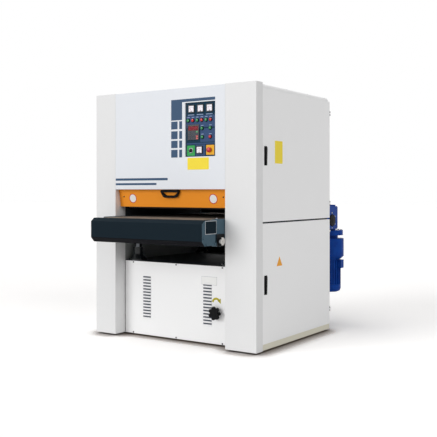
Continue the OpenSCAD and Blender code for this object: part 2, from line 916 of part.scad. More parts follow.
// A latch on the right side: tapered lever, spindle through the door, and cam inside it
module side_latch(z) {
    lever_x = door_x + gap;
    cam_x = door_x - sheet - latch_boss_len - latch_cam_gap - latch_cam_t;
    tip_z = z + latch_w / 2 - latch_len;
    top_z = z + latch_w / 2;
    across(lever_x, lever_x + latch_t) polygon([
        [latch_y - latch_w / 2, top_z - latch_bevel], [latch_y - latch_w / 2 + latch_bevel, top_z],
        [latch_y + latch_w / 2 - latch_bevel, top_z], [latch_y + latch_w / 2, top_z - latch_bevel],
        [latch_y + latch_w / 2, z - latch_w / 2], [latch_y + latch_tip_w / 2, tip_z + latch_bevel],
        [latch_y + latch_tip_w / 2 - latch_bevel, tip_z], [latch_y - latch_tip_w / 2 + latch_bevel, tip_z],
        [latch_y - latch_tip_w / 2, tip_z + latch_bevel], [latch_y - latch_w / 2, z - latch_w / 2]
    ]);
    rod_x([cam_x, latch_y, z], latch_spindle_r, lever_x - cam_x);
    block([cam_x, latch_y - latch_cam_len, z - latch_cam_w / 2],
        [cam_x + latch_cam_t, latch_y + latch_cam_w / 2, z + latch_cam_w / 2]);
}

module latch_right_upper() {
    color("black") from_front() side_latch(latch_upper_z);
}

module latch_right_lower() {
    color("black") from_front() side_latch(latch_lower_z);
}

module latch_left_upper() {
    color("black") from_front() mirror([1, 0, 0]) side_latch(latch_upper_z);
}

// Place on the control plate's face from shares of the recess
function on_plate(shares) = [
    control_x0 + control_w * shares[0], control_recess, control_z0 + control_h * shares[1]
];

// Control plate with bezels and collars, bored for the controls
module control_plate() {
    plate_back = control_recess + control_plate_t;
    color("steelblue") from_front() difference() {
        union() {
            block([control_x0, control_recess, control_z0],
                [control_x0 + control_w, plate_back, control_z0 + control_h]);
            for (shares = button_place_shares) {
                rod_y(on_plate(shares) - [0, bezel_t, 0], bezel_r, bezel_t + control_plate_t);
            }
            for (shares = [knob_place_shares, stop_place_shares]) {
                rod_y(on_plate(shares) - [0, collar_t, 0], collar_r, collar_t + control_plate_t);
            }
        }
        for (shares = button_place_shares) {
            rod_y(on_plate(shares) - [0, bezel_t + over, 0], button_d / 2 + run_fit,
                bezel_t + control_plate_t + 2 * over);
        }
        plate_bore(knob_place_shares, knob_spindle_r);
        plate_bore(stop_place_shares, stop_stem_r);
    }
}

// Bore of a knob or the stop button through its collar and the plate
module plate_bore(shares, r) {
    rod_y(on_plate(shares) - [0, collar_t + over, 0], r + run_fit, collar_t + control_plate_t + 2 * over);
}

// A push button: cap in its bezel and a flange behind the plate
module push_button(i) {
    place = on_plate(button_place_shares[i]);
    color(button_is_green[i] ? "seagreen" : "firebrick") from_front() {
        rod_y(place - [0, bezel_t + button_proud, 0], button_d / 2,
            bezel_t + button_proud + control_plate_t + gap + button_flange_t);
        rod_y(place + [0, control_plate_t + gap, 0], button_flange_r, button_flange_t);
    }
}

// Meters and readout on the control plate
module panel_instruments() {
    color("black") from_front() {
        for (shares = meter_place_shares) {
            instrument(on_plate(shares), meter_w, meter_w, meter_t, meter_face_w, 0);
        }
        instrument(on_plate(readout_place_shares), readout_w, readout_h, readout_t, readout_window_h,
            (readout_h - readout_window_h) / 2 - readout_edge);
    }
}

// A boxed instrument with a sunk window, its lower side on the plate's face
module instrument(place, w, h, t, window_h, window_rise) {
    window_w = w - (meter_w - meter_face_w);
    difference() {
        block(place - [w / 2, t, h / 2], place + [w / 2, 0, h / 2]);
        block(place - [window_w / 2, t + over, window_h / 2 - window_rise],
            place + [window_w / 2, meter_face_d - t, window_h / 2 + window_rise]);
    }
}

// Selector knob with a raised grip bar, spindle through the plate
module selector_knob() {
    place = on_plate(knob_place_shares);
    front = collar_t + gap;
    color("black") from_front() {
        rod_y(place - [0, front + knob_len - knob_bar_h, 0], knob_r, knob_len - knob_bar_h);
        block(place - [knob_bar_w / 2, front + knob_len, knob_r], place + [knob_bar_w / 2, -front, knob_r]);
        rod_y(place - [0, front + over, 0], knob_spindle_r,
            front + over + control_plate_t + gap + button_flange_t);
        rod_y(place + [0, control_plate_t + gap, 0], button_flange_r, button_flange_t);
    }
}

// Emergency stop: mushroom head on a stem through the plate
module stop_button() {
    place = on_plate(stop_place_shares);
    head_y0 = collar_t + gap + stop_travel;
    profile = [
        [0, head_y0 + stop_head_t], [stop_r - stop_crown, head_y0 + stop_head_t],
        [stop_r, head_y0 + stop_head_t - stop_crown], [stop_r, head_y0], [0, head_y0]
    ];
    color("red") from_front() {
        translate(place) rotate([90, 0, 0]) rotate_extrude($fn = medium) polygon(profile);
        rod_y(place - [0, head_y0 + over, 0], stop_stem_r,
            head_y0 + over + control_plate_t + gap + button_flange_t);
        rod_y(place + [0, control_plate_t + gap, 0], button_flange_r, button_flange_t);
    }
}

// Draws about the flap's pivot, leaning as the flap hangs
module at_flap_pivot() {
    translate([0, flap_pivot_y, flap_pivot_z]) rotate([flap_tilt, 0, 0]) children();
}

// Infeed flap: bent plate on lugs that hang from a shaft between the columns
module feed_flap() {
    x0 = open_x0 + flap_side_gap;
    x1 = open_x1 - flap_side_gap;
    shaft_end = sheet + flap_boss_t + over;
    front = -flap_standoff - flap_t;
    path = [[front, flap_rise], [front, -flap_len], [front + flap_lip, -flap_len]];
    color("darkorange") from_front() at_flap_pivot() {
        across(x0, x1) polygon(bent_sheet(path, flap_t));
        for (x = [x0, mid_x - flap_lug_t / 2, x1 - flap_lug_t]) {
            block([x, -flap_standoff - flap_t / 2, -flap_lug_drop], [x + flap_lug_t, 0, flap_rise]);
        }
        rod_x([open_x0 - shaft_end, 0, 0], flap_shaft_r, open_w + 2 * shaft_end);
    }
}

// Deep trapezoid ring handle on the flap's face
module flap_handle() {
    front = -flap_standoff - flap_t;
    low_z = -handle_drop - handle_h;
    outer = handle_outline(handle_top_w, handle_bottom_w, low_z, -handle_drop, handle_corner);
    inner = handle_outline(handle_top_w - 2 * handle_bar, handle_bottom_w - 2 * handle_bar,
        low_z + handle_bar, -handle_drop - handle_bar, handle_corner / 2);
    color("black") from_front() at_flap_pivot() along(front - handle_depth, front) difference() {
        polygon(outer);
        polygon(inner);
    }
}

function handle_outline(top_w, bottom_w, z0, z1, corner) = [
    [mid_x - top_w / 2, z1 - corner], [mid_x - top_w / 2 + corner, z1],
    [mid_x + top_w / 2 - corner, z1], [mid_x + top_w / 2, z1 - corner],
    [mid_x + bottom_w / 2 + corner, z0 + corner], [mid_x + bottom_w / 2 - corner, z0],
    [mid_x - bottom_w / 2 + corner, z0], [mid_x - bottom_w / 2 - corner, z0 + corner]
];

// Path of the front guard's sheet, from its top lip round the front to its bottom lip
guard_path = [
    [guard_front_y + guard_chamfer_y + guard_top_lip, guard_top_z],
    [guard_front_y + guard_chamfer_y, guard_top_z],
    [guard_front_y, guard_top_z - guard_top_chamfer],
    [guard_front_y, guard_bottom_z + guard_bottom_chamfer],
    [guard_front_y + guard_chamfer_y, guard_bottom_z],
    [guard_front_y + guard_chamfer_y + guard_bottom_lip, guard_bottom_z]
];

module front_guard() {
    color("darkslategray") from_front() across(table_x0, table_x1) polygon(bent_sheet(guard_path, sheet));
}

// Table frame: two bored rails and the cross beams that stand on the rams
module table_frame() {
    rail_outline = concat(inside_path(guard_path, sheet), [
        [rail_step_y, guard_bottom_z + sheet], [rail_step_y, rail_bottom_z], [rail_end_y, rail_bottom_z],
        [rail_end_y, rail_top_z], [rail_rise_y, rail_top_z],
        [rail_rise_y - rail_t, guard_top_z - sheet]
    ]);
    take_up_z = rail_bottom_z - take_up_drop;
    color("darkslategray") from_front() difference() {
        union() {
            for (x = [table_x0, table_x1 - rail_t]) across(x, x + rail_t) polygon(rail_outline);
            for (y = lift_rows) {
                block([table_x0, y - cross_beam_w / 2, cross_beam_z],
                    [table_x1, y + cross_beam_w / 2, cross_beam_top_z]);
            }
            rod_x([table_x1 - take_up_len, take_up_y, take_up_z], take_up_r, take_up_len);
            block([table_x1 - take_up_len + over, take_up_y - take_up_w / 2, take_up_z],
                [table_x1 - over, take_up_y + take_up_w / 2, rail_bottom_z + over]);
        }
        for (x = [table_x0, table_x1 - rail_t]) {
            rod_x([x - over, drive_roller_y, conveyor_z], journal_r + run_fit, rail_t + 2 * over);
            rod_x([x - over, idler_y, conveyor_z], idler_journal_r + run_fit, rail_t + 2 * over);
        }
    }
}

// Bed between the belt's two runs: a plate on longitudinal ribs and end ribs
module bed_plate() {
    x0 = table_x0 + rail_t;
    x1 = table_x1 - rail_t;
    y0 = idler_y + feed_roller_r + bed_clear;
    y1 = drive_roller_y - feed_roller_r - bed_clear;
    top_z = belt_top_z - feed_belt_t - gap;
    rib_step = (x1 - x0 - bed_rib_t) / (bed_rib_count - 1);
    color("slategray") from_front() {
        block([x0, y0, top_z - bed_plate_t], [x1, y1, top_z]);
        for (i = [0 : bed_rib_count - 1]) {
            block([x0 + i * rib_step, y0, top_z - bed_depth], [x0 + i * rib_step + bed_rib_t, y1, top_z]);
        }
        for (y = [y0, y1 - bed_rib_t]) block([x0, y, top_z - bed_depth], [x1, y + bed_rib_t, top_z]);
    }
}

// Feed belt round the idler and drive rollers
module conveyor_belt() {
    inner_r = feed_roller_r + gap;
    color("rosybrown") from_front() across(mid_x - feed_belt_w / 2, mid_x + feed_belt_w / 2)
        translate([idler_y, conveyor_z]) rotate(-90)
        belt_band(inner_r, inner_r, drive_roller_y - idler_y, feed_belt_t);
}

// Drive roller, its shaft through both rails and the worm box, and the shaft's end cap
module drive_roller() {
    roller_half = (feed_belt_w + roller_spare) / 2;
    cap_x = worm_box_x1 + gap;
    color("dimgray") from_front() turned_x([0, drive_roller_y, conveyor_z]) polygon([
        [0, table_x0 - journal_proud], [journal_r, table_x0 - journal_proud],
        [journal_r, mid_x - roller_half], [feed_roller_r, mid_x - roller_half],
        [feed_roller_r, mid_x + roller_half], [journal_r, mid_x + roller_half],
        [journal_r, cap_x], [shaft_cap_r, cap_x],
        [shaft_cap_r, cap_x + shaft_cap_t], [0, cap_x + shaft_cap_t]
    ]);
}

// Idler roller behind the front guard
module idler_roller() {
    roller_half = (feed_belt_w + roller_spare) / 2;
    color("dimgray") from_front() turned_x([0, idler_y, conveyor_z]) polygon([
        [0, table_x0], [idler_journal_r, table_x0], [idler_journal_r, mid_x - roller_half],
        [feed_roller_r, mid_x - roller_half], [feed_roller_r, mid_x + roller_half],
        [idler_journal_r, mid_x + roller_half], [idler_journal_r, table_x1], [0, table_x1]
    ]);
}

// Worm box hung on the drive shaft, with its torque arm, flange and neck
module feed_gearbox() {
    bevel = worm_box_bevel;
    axis = [worm_axis_x, worm_axis_y, 0];
    flange_top = drive_flange_z + drive_flange_t;
    color("midnightblue") from_front() difference() {
        union() {
            across(worm_box_x0, worm_box_x1) polygon([
                [worm_box_y0 + bevel, worm_box_z0], [worm_box_y1 - bevel, worm_box_z0],
                [worm_box_y1, worm_box_z0 + bevel], [worm_box_y1, worm_box_z1 - bevel],
                [worm_box_y1 - bevel, worm_box_z1], [worm_box_y0 + bevel, worm_box_z1],
                [worm_box_y0, worm_box_z1 - bevel], [worm_box_y0, worm_box_z0 + bevel]
            ]);
            rod_z(axis + [0, 0, flange_top - over], worm_bulge_r,
                worm_box_z1 + worm_cap_t - flange_top + over);
            rod_z(axis + [0, 0, drive_flange_z], drive_flange_r, drive_flange_t, fine);
            rod_z(axis + [0, 0, variator_z1], neck_r, drive_flange_z - variator_z1 + over);
            block([table_x1, torque_arm_y0, torque_arm_z0],
                [worm_box_x0 + over, torque_arm_y0 + torque_arm_w, torque_arm_z0 + torque_arm_h]);
        }
        rod_x([worm_box_x0 - over, drive_roller_y, conveyor_z], journal_r + run_fit, worm_box_w + 2 * over);
    }
}

// Variable-speed stage and the finned motor hanging below it
module feed_motor() {
    core_r = feed_motor_r - feed_fin_h;
    fin_z0 = feed_motor_z + feed_cowl_h;
    color("midnightblue") from_front() translate([worm_axis_x, worm_axis_y, 0]) {
        rotate_extrude($fn = fine) polygon([
            [0, feed_motor_z], [feed_motor_r - feed_motor_round, feed_motor_z],
            [feed_motor_r - feed_motor_round * corner_share, feed_motor_z + feed_motor_round * corner_share],
            [feed_motor_r, feed_motor_z + feed_motor_round], [feed_motor_r, fin_z0], [core_r, fin_z0],
            [core_r, variator_z0], [variator_r - variator_chamfer, variator_z0],
            [variator_r, variator_z0 + variator_chamfer], [variator_r, variator_z1 - over],
            [variator_r - over, variator_z1], [0, variator_z1]
        ]);
        for (i = [0 : feed_fin_count - 1]) rotate(i * 360 / feed_fin_count)
            block([core_r - over, -feed_fin_t / 2, fin_z0 - over],
                [feed_motor_r, feed_fin_t / 2, variator_z0 - feed_fin_h]);
        block([core_r - over, -feed_terminal_w / 2, variator_z0 - feed_terminal_h - feed_fin_h],
            [core_r + feed_terminal_d, feed_terminal_w / 2, variator_z0 - feed_fin_h]);
    }
}

// Four flanged and flared guide columns standing on the deck
module lift_columns() {
    bore = ram_d / 2 + run_fit;
    flare_z = lift_flange_t + lift_flare_h;
    profile = [
        [bore, 0], [lift_flange_r, 0], [lift_flange_r, lift_flange_t],
        [lift_flange_r * flare_shoulder_share, lift_flange_t],
        [lift_flange_r * flare_waist_share, (lift_flange_t + flare_z) / 2],
        [lift_tube_r, flare_z], [lift_tube_r, lift_tube_h], [bore, lift_tube_h]
    ];
    color("dimgray") from_front() for (side = [-1, 1]) {
        for (y = lift_rows) {
            translate([mid_x + side * lift_dx, y, deck_z]) rotate_extrude($fn = fine) polygon(profile);
        }
    }
}

// Four rams under the table frame, running in the guide columns
module lift_screws() {
    color("silver") from_front() for (side = [-1, 1]) {
        for (y = lift_rows) {
            rod_z([mid_x + side * lift_dx, y, ram_bottom_z], ram_d / 2, cross_beam_z - ram_bottom_z);
            rod_z([mid_x + side * lift_dx, y, cross_beam_z - ram_head_t], ram_head_r, ram_head_t);
        }
    }
}

// Turned profile of a drum or roller with sunk ends, between its two journal ends
function drum_profile(r, journal, end0, x0, x1, end1) = [
    [0, end0], [journal, end0], [journal, x0 + drum_recess], [r - drum_wall, x0 + drum_recess],
    [r - drum_wall, x0], [r, x0], [r, x1], [r - drum_wall, x1],
    [r - drum_wall, x1 - drum_recess], [journal, x1 - drum_recess], [journal, end1], [0, end1]
];

// Turned profile of a grooved pulley
function pulley_profile(r) = concat(
    [[0, pulley_x], [r, pulley_x]],
    [for (i = [0 : belts_each - 1]) let (x = pulley_x + pulley_side + i * groove_pitch)
        each [
            [r, x - groove_top_w / 2], [r - groove_d, x - groove_bottom_w / 2],
            [r - groove_d, x + groove_bottom_w / 2], [r, x + groove_top_w / 2]
        ]],
    [[r, pulley_x + pulley_w], [0, pulley_x + pulley_w]]
);

// Rubber contact drum with the pulley on its drive end
module contact_drum(i) {
    color("darkslategray") from_front() turned_x([0, head_y(i), contact_z]) {
        polygon(drum_profile(contact_r, drum_journal_r, cheek_left_x + over, drum_x0, drum_x1,
            pulley_x + over));
        polygon(pulley_profile(drum_pulley_r));
    }
}

// Aluminium tension roller at the top of a head
module tension_roller(i) {
    color("silver") from_front() turned_x([0, head_y(i), tension_z])
        polygon(drum_profile(tension_r, tension_journal_r, cheek_left_x + over, drum_x0, drum_x1,
            open_x1 - over));
}

// Abrasive belts of the three heads
module sanding_belts() {
    color("sienna") from_front() for (i = [0 : head_count - 1]) {
        across(drum_x0, drum_x1) translate([head_y(i), contact_z])
            belt_band(contact_r + gap, tension_r + gap, head_rise, sanding_belt_t);
    }
}

// Head carriers: two bored cheeks joined by flanged beams, fixed to the drive-side plate
module head_beams() {
    color("lightsteelblue") from_front() for (i = [0 : head_count - 1]) {
        difference() {
            union() {
                for (x = [cheek_left_x, cheek_right_x]) head_cheek(i, x);
                for (z = [contact_z + beam_rise, contact_z + beam_upper_rise]) head_beam(i, z);
            }
            for (x = [cheek_left_x, cheek_right_x]) {
                rod_x([x - over, head_y(i), contact_z], drum_journal_r + run_fit, cheek_t + 2 * over);
                rod_x([x - over, head_y(i), tension_z], tension_journal_r + run_fit, cheek_t + 2 * over);
            }
        }
    }
}

module head_cheek(i, x) {
    block([x, head_y(i) - cheek_w / 2, contact_z], [x + cheek_t, head_y(i) + cheek_w / 2, tension_z]);
    for (z = [contact_z, tension_z]) rod_x([x, head_y(i), z], cheek_end_r, cheek_t);
}

module head_beam(i, z) {
    for (rise = [0, beam_h - beam_flange_t]) {
        block([cheek_left_x, head_y(i) - beam_w / 2, z + rise],
            [cheek_right_x + cheek_t, head_y(i) + beam_w / 2, z + rise + beam_flange_t]);
    }
    block([cheek_left_x, head_y(i) - beam_flange_t / 2, z],
        [cheek_right_x + cheek_t, head_y(i) + beam_flange_t / 2, z + beam_h]);
}

// V-belts from the motors' pulleys up to the drums' pulleys
module v_belts() {
    color("black") from_front() for (i = [0 : head_count - 1]) {
        for (k = [0 : belts_each - 1]) {
            translate([pulley_x + pulley_side + k * groove_pitch, head_y(i), motor_axis_z]) v_belt();
        }
    }
}

// One belt as a ring of tapered sections; points run outer left, outer right, inner right, inner left
module v_belt() {
    rise = contact_z - motor_axis_z;
    outer = belt_outline(motor_pulley_r - v_belt_sink, drum_pulley_r - v_belt_sink, rise, v_steps);
    inner = belt_outline(motor_pulley_r - v_belt_sink - v_belt_h, drum_pulley_r - v_belt_sink - v_belt_h,
        rise, v_steps);
    count = len(outer);
    points = [for (i = [0 : count - 1]) each [
        [-v_belt_top_w / 2, outer[i].x, outer[i].y], [v_belt_top_w / 2, outer[i].x, outer[i].y],
        [v_belt_bottom_w / 2, inner[i].x, inner[i].y], [-v_belt_bottom_w / 2, inner[i].x, inner[i].y]
    ]];
    faces = [for (i = [0 : count - 1]) for (k = [0 : 3])
        let (here = 4 * i, next = 4 * ((i + 1) % count), other = (k + 1) % 4)
        each [[here + k, here + other, next + other], [here + k, next + other, next + k]]];
    polyhedron(points = points, faces = faces);
}

// Pulley on a motor's shaft; the shaft runs in the motor's end
module motor_pulley(i) {
    color("dimgray") from_front() turned_x([0, head_y(i), motor_axis_z]) {
        polygon([
            [0, motor_x1 - motor_shaft_grip], [motor_shaft_r, motor_x1 - motor_shaft_grip],
            [motor_shaft_r, pulley_x + over], [0, pulley_x + over]
        ]);
        polygon(pulley_profile(motor_pulley_r));
    }
}

// Three finned main motors on the base's bearers
module main_motors() {
    color("royalblue") from_front() for (i = [0 : head_count - 1]) {
        translate([0, head_y(i), motor_axis_z]) main_motor();
    }
}

module main_motor() {
    x0 = motor_x1 - motor_len;
    core_r = motor_r - motor_fin_h;
    difference() {
        union() {
            rod_x([x0, 0, 0], core_r, motor_len, fine);
            for (x = [x0, motor_x1 - motor_end_len]) rod_x([x, 0, 0], motor_r, motor_end_len, fine);
            for (k = [0 : motor_fin_count - 1]) rotate([(k + 0.5) * 360 / motor_fin_count, 0, 0])
                block([x0 + over, -motor_fin_t / 2, core_r - over],
                    [motor_x1 - over, motor_fin_t / 2, motor_r - over]);
            block([motor_foot_x0, -motor_foot_w / 2, bearer_top_z - motor_axis_z],
                [motor_foot_x0 + motor_foot_len, motor_foot_w / 2, -core_r / 2]);
            block([motor_foot_x0 + motor_foot_len / 2, -motor_box_w / 2, core_r / 2],
                [motor_foot_x0 + motor_foot_len / 2 + motor_box_len, motor_box_w / 2,
                    motor_r + motor_box_h]);
        }
        rod_x([motor_x1 - motor_shaft_grip - over, 0, 0], motor_shaft_r + run_fit,
            motor_shaft_grip + 2 * over);
    }
}

// Black lobed handwheel with a turning grip, on a shaft through the lower panel
module tension_handwheel() {
    lobe_ring = wheel_r - wheel_lobe_r;
    face_y = panel_setback - wheel_proud;
    color("black") from_front() {
        translate([wheel_x, face_y + wheel_t, wheel_z]) rotate([90, 0, 0]) linear_extrude(height = wheel_t) {
            circle(r = lobe_ring, $fn = medium);
            for (i = [0 : wheel_lobes - 1]) rotate(i * 360 / wheel_lobes)
                translate([lobe_ring, 0]) circle(r = wheel_lobe_r, $fn = medium);
        }
        rod_y([wheel_x, face_y, wheel_z], wheel_hub_r, wheel_proud - wheel_bush_len - gap);
        rod_y([wheel_x, face_y, wheel_z], wheel_shaft_r, wheel_proud + wheel_shaft_tail);
        rod_y([wheel_x + lobe_ring, face_y - wheel_grip_len, wheel_z], wheel_grip_r, wheel_grip_len + over);
    }
}

// A pressure roller between the side plates
module pressure_roller(y) {
    color("gray") from_front() turned_x([0, y, pressure_z], medium) polygon([
        [0, open_x0 - frame_plate], [pressure_journal_r, open_x0 - frame_plate],
        [pressure_journal_r, drum_x0], [pressure_r, drum_x0], [pressure_r, drum_x1],
        [pressure_journal_r, drum_x1], [pressure_journal_r, open_x1 + frame_plate],
        [0, open_x1 + frame_plate]
    ]);
}

base_frame();
side_frames();
front_column_left();
front_column_right();
roof_cover();
rear_cover_upper();
rear_cover_lower();
front_panel_upper();
front_panel_lower();
hinge_brackets();
levelling_feet();
cover_left_lower();
door_right_upper();
door_right_lower();
door_left_upper();
latch_right_upper();
latch_right_lower();
latch_left_upper();
control_plate();
panel_instruments();
push_button(0);  // button_1
push_button(1);  // button_2
push_button(2);  // button_3
push_button(3);  // button_4
push_button(4);  // button_5
push_button(5);  // button_6
push_button(6);  // button_7
push_button(7);  // button_8
push_button(8);  // button_9
push_button(9);  // button_10
selector_knob();
stop_button();
feed_flap();
flap_handle();
table_frame();
bed_plate();
conveyor_belt();
drive_roller();
idler_roller();
front_guard();
feed_gearbox();
feed_motor();
lift_screws();
lift_columns();
contact_drum(0);  // contact_drum_1
contact_drum(1);  // contact_drum_2
contact_drum(2);  // contact_drum_3
tension_roller(0);  // tension_roller_1
tension_roller(1);  // tension_roller_2
tension_roller(2);  // tension_roller_3
sanding_belts();
head_beams();
v_belts();
main_motors();
motor_pulley(0);  // motor_pulley_1
motor_pulley(1);  // motor_pulley_2
motor_pulley(2);  // motor_pulley_3
tension_handwheel();
pressure_roller(pressure_rows[0]);  // pressure_roller_front
pressure_roller(pressure_rows[1]);  // pressure_roller_rear
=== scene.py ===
import logging
import math
import random
from dataclasses import dataclass
from enum import Enum
from typing import Optional, Sequence

import bpy
from mathutils import Matrix, Vector


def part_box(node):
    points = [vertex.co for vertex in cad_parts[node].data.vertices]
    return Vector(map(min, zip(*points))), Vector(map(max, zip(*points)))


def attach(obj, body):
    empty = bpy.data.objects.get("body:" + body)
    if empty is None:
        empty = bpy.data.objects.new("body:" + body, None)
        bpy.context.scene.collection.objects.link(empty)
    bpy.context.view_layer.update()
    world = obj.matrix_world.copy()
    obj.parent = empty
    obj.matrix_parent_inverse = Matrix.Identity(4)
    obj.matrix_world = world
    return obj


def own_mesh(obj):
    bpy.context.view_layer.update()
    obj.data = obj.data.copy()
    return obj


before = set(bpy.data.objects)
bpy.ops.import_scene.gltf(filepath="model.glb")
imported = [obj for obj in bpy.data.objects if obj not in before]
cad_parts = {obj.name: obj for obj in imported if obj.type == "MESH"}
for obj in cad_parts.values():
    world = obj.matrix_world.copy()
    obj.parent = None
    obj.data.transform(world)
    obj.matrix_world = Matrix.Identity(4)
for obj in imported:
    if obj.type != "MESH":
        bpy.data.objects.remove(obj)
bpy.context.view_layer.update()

LOG = logging.getLogger("sander")
RNG = random.Random(1000)
MM = 0.001
# The columns' front plane in the shared frame, in millimetres.
FRONT_Y = -671.5

Color = tuple[float, float, float, float]
Point = tuple[float, float, float]
Span = tuple[float, float]
Profile = Sequence[Span]
Node = bpy.types.Node
Piece = bpy.types.Object
Socket = bpy.types.NodeSocket
Tree = bpy.types.NodeTree

BLACK: Color = (0, 0, 0, 1)
WHITE: Color = (1, 1, 1, 1)


class Axis(Enum):
    """The frame's axes, each by its number."""

    X = 0
    Y = 1
    Z = 2


class Facing(Enum):
    """The side a fastener looks out of, as the turn that takes it there from above."""

    FRONT = ("X", 90)
    BACK = ("X", -90)
    RIGHT = ("Y", 90)
    UP = ("Z", 0)


def at(x: float, y: float, z: float) -> Vector:
    """Turn a place on the machine's front datum into the shared frame.

    Args:
        x: millimetres to the right of the machine's middle.
        y: millimetres behind the columns' front plane.
        z: millimetres above the floor.

    Returns:
        The place in metres.
    """
    return Vector((x * MM, (y + FRONT_Y) * MM, z * MM))


def srgb(code: str) -> Color:
    """Turn an sRGB hex value into linear light.

    Args:
        code: six hex digits.

    Returns:
        Red, green, blue and alpha.
    """
    parts = [int(code[i:i + 2], 16) / 255 for i in (0, 2, 4)]
    red, green, blue = [p / 12.92 if p <= 0.04045 else ((p + 0.055) / 1.055) ** 2.4
                        for p in parts]
    return (red, green, blue, 1.0)


# --------------------------------------------------------------------------- materials

def add_node(tree: Tree, kind: str, inputs: Optional[dict] = None,
             **settings: object) -> Node:
    """Add a node with its settings, values and links.

    Args:
        tree: the node tree that takes the node.
        kind: the node's type.
        inputs: socket name or number to a value, or to the socket that feeds it.
        settings: the node's own properties.

    Returns:
        The new node.
    """
    node = tree.nodes.new(kind)
    for name, value in settings.items():
        setattr(node, name, value)
    for key, value in (inputs or {}).items():
        socket = node.inputs[key]
        if isinstance(value, Socket):
            tree.links.new(value, socket)
        else:
            socket.default_value = value
    return node


def empty_tree(owner: bpy.types.ID) -> Tree:
    """Give a material or a world a node tree with nothing in it."""
    owner.use_nodes = True
    owner.node_tree.nodes.clear()
    return owner.node_tree


def ramp(tree: Tree, source: Socket, stops: Sequence[tuple[float, Color]]) -> Socket:
    """Feed a value through a colour ramp.

    Args:
        tree: the node tree.
        source: the value.
        stops: each stop's place and colour.

    Returns:
        The ramp's colour.
    """
    node = add_node(tree, "ShaderNodeValToRGB", {"Fac": source})
    elements = node.color_ramp.elements
    while len(elements) < len(stops):
        elements.new(0.5)
    for element, (place, color) in zip(elements, stops):
        element.position = place
        element.color = color
    return node.outputs["Color"]


def tint(color: Color, share: float) -> Color:
    """Scale a colour's light, with its alpha kept."""
    return (color[0] * share, color[1] * share, color[2] * share, 1.0)


@dataclass
class Canvas:
    """A material in the making: its tree, its shader and the piece's coordinates."""

    tree: Tree
    shader: Node
    place: Socket

    def noise(self, size_mm: float, detail: float = 2.0, roughness: float = 0.5,
              place: Optional[Socket] = None) -> Socket:
        """Cloudy noise whose lumps have a real size.

        Args:
            size_mm: the width of a lump.
            detail: the number of finer layers.
            roughness: the weight of the finer layers.
            place: other coordinates than the piece's own.

        Returns:
            The noise, from 0 to 1.
        """
        return add_node(self.tree, "ShaderNodeTexNoise",
                        {"Vector": place or self.place, "Scale": 1 / (size_mm * MM),
                         "Detail": detail, "Roughness": roughness}).outputs["Fac"]

    def wave(self, pitch_mm: float, inputs: dict) -> Socket:
        """Bands at a real pitch.

        Args:
            pitch_mm: the distance between bands.
            inputs: their coordinates, and what else the node takes.

        Returns:
            The bands, from 0 to 1.
        """
        scale = 1 / (pitch_mm * MM * math.tau)
        return add_node(self.tree, "ShaderNodeTexWave",
                        {"Scale": scale, **inputs}).outputs["Fac"]

    def blend(self, factor: Socket, first: Color, second: Color) -> None:
        """Colour the shader between two colours by a factor."""
        mix = add_node(self.tree, "ShaderNodeMix", {0: factor, 6: first, 7: second},
                       data_type="RGBA")
        self.tree.links.new(mix.outputs[2], self.shader.inputs["Base Color"])

    def clouds(self, finish: "Finish", detail: float = 2.0) -> None:
        """Let a finish's colour drift in patches to its second tone."""
        self.blend(self.noise(finish.tone_mm, detail), finish.base,
                   tint(finish.base, finish.tone))

    def relief(self, finish: "Finish", height: Socket) -> None:
        """Raise the surface by a pattern, over edges that are eased.

        Args:
            finish: gives the pattern's depth and the edges' radius.
            height: the pattern.
        """
        inputs = {"Height": height, "Distance": finish.depth_mm * MM, "Strength": 1.0}
        if finish.edge_mm:
            inputs["Normal"] = add_node(self.tree, "ShaderNodeBevel",
                                        {"Radius": finish.edge_mm * MM},
                                        samples=4).outputs["Normal"]
        bump = add_node(self.tree, "ShaderNodeBump", inputs)
        self.tree.links.new(bump.outputs["Normal"], self.shader.inputs["Normal"])


@dataclass(frozen=True)
class Finish:
    """What a surface is made of and how it was finished.

    tone and tone_mm are its second tone and the width of that tone's patches, grain_mm,
    layers and depth_mm the size, the finer layers and the depth of its pattern, edge_mm the
    radius of eased edges, and coat the clear coat's weight and roughness; slot is not used.
    """

    name: str
    color: str
    roughness: float = 0.5
    shine: float = 0.5
    metallic: float = 0.0
    coat: Span = (0.0, 0.03)
    tone: float = 1.0
    tone_mm: float = 30.0
    grain_mm: float = 2.0
    layers: float = 2.0
    depth_mm: float = 0.01
    edge_mm: float = 0.0
    slot: str = ""

    @property
    def base(self) -> Color:
        """The colour in linear light."""
        return srgb(self.color)

    def material(self) -> bpy.types.Material:
        """Build the material once, and give it back on every later call.

        Returns:
            The material.
        """
        known = bpy.data.materials.get(self.name)
        if known:
            return known
        material = bpy.data.materials.new(self.name)
        material.diffuse_color = self.base
        tree = empty_tree(material)
        shader = add_node(tree, "ShaderNodeBsdfPrincipled", {
            "Base Color": self.base, "Roughness": self.roughness,
            "Specular IOR Level": self.shine, "Metallic": self.metallic,
            "Coat Weight": self.coat[0], "Coat Roughness": self.coat[1]})
        add_node(tree, "ShaderNodeOutputMaterial", {"Surface": shader.outputs["BSDF"]})
        place = add_node(tree, "ShaderNodeTexCoord").outputs["Object"]
        self.dress(Canvas(tree, shader, place))
        return material

    def dress(self, on: Canvas) -> None:
        """Let the colour drift in patches, over a grain in the surface."""
        on.clouds(self)
        on.relief(self, on.noise(self.grain_mm, self.layers))


@dataclass(frozen=True)
class PowderCoat(Finish):
    """Polyester powder coat on sheet steel: satin, with a fine orange peel.

    The peel breaks the reflections, and its clouds are just short of visible.
    """

    roughness: float = 0.42
    tone: float = 0.985
    tone_mm: float = 340.0
    grain_mm: float = 2.2
    depth_mm: float = 0.012
    edge_mm: float = 1.6


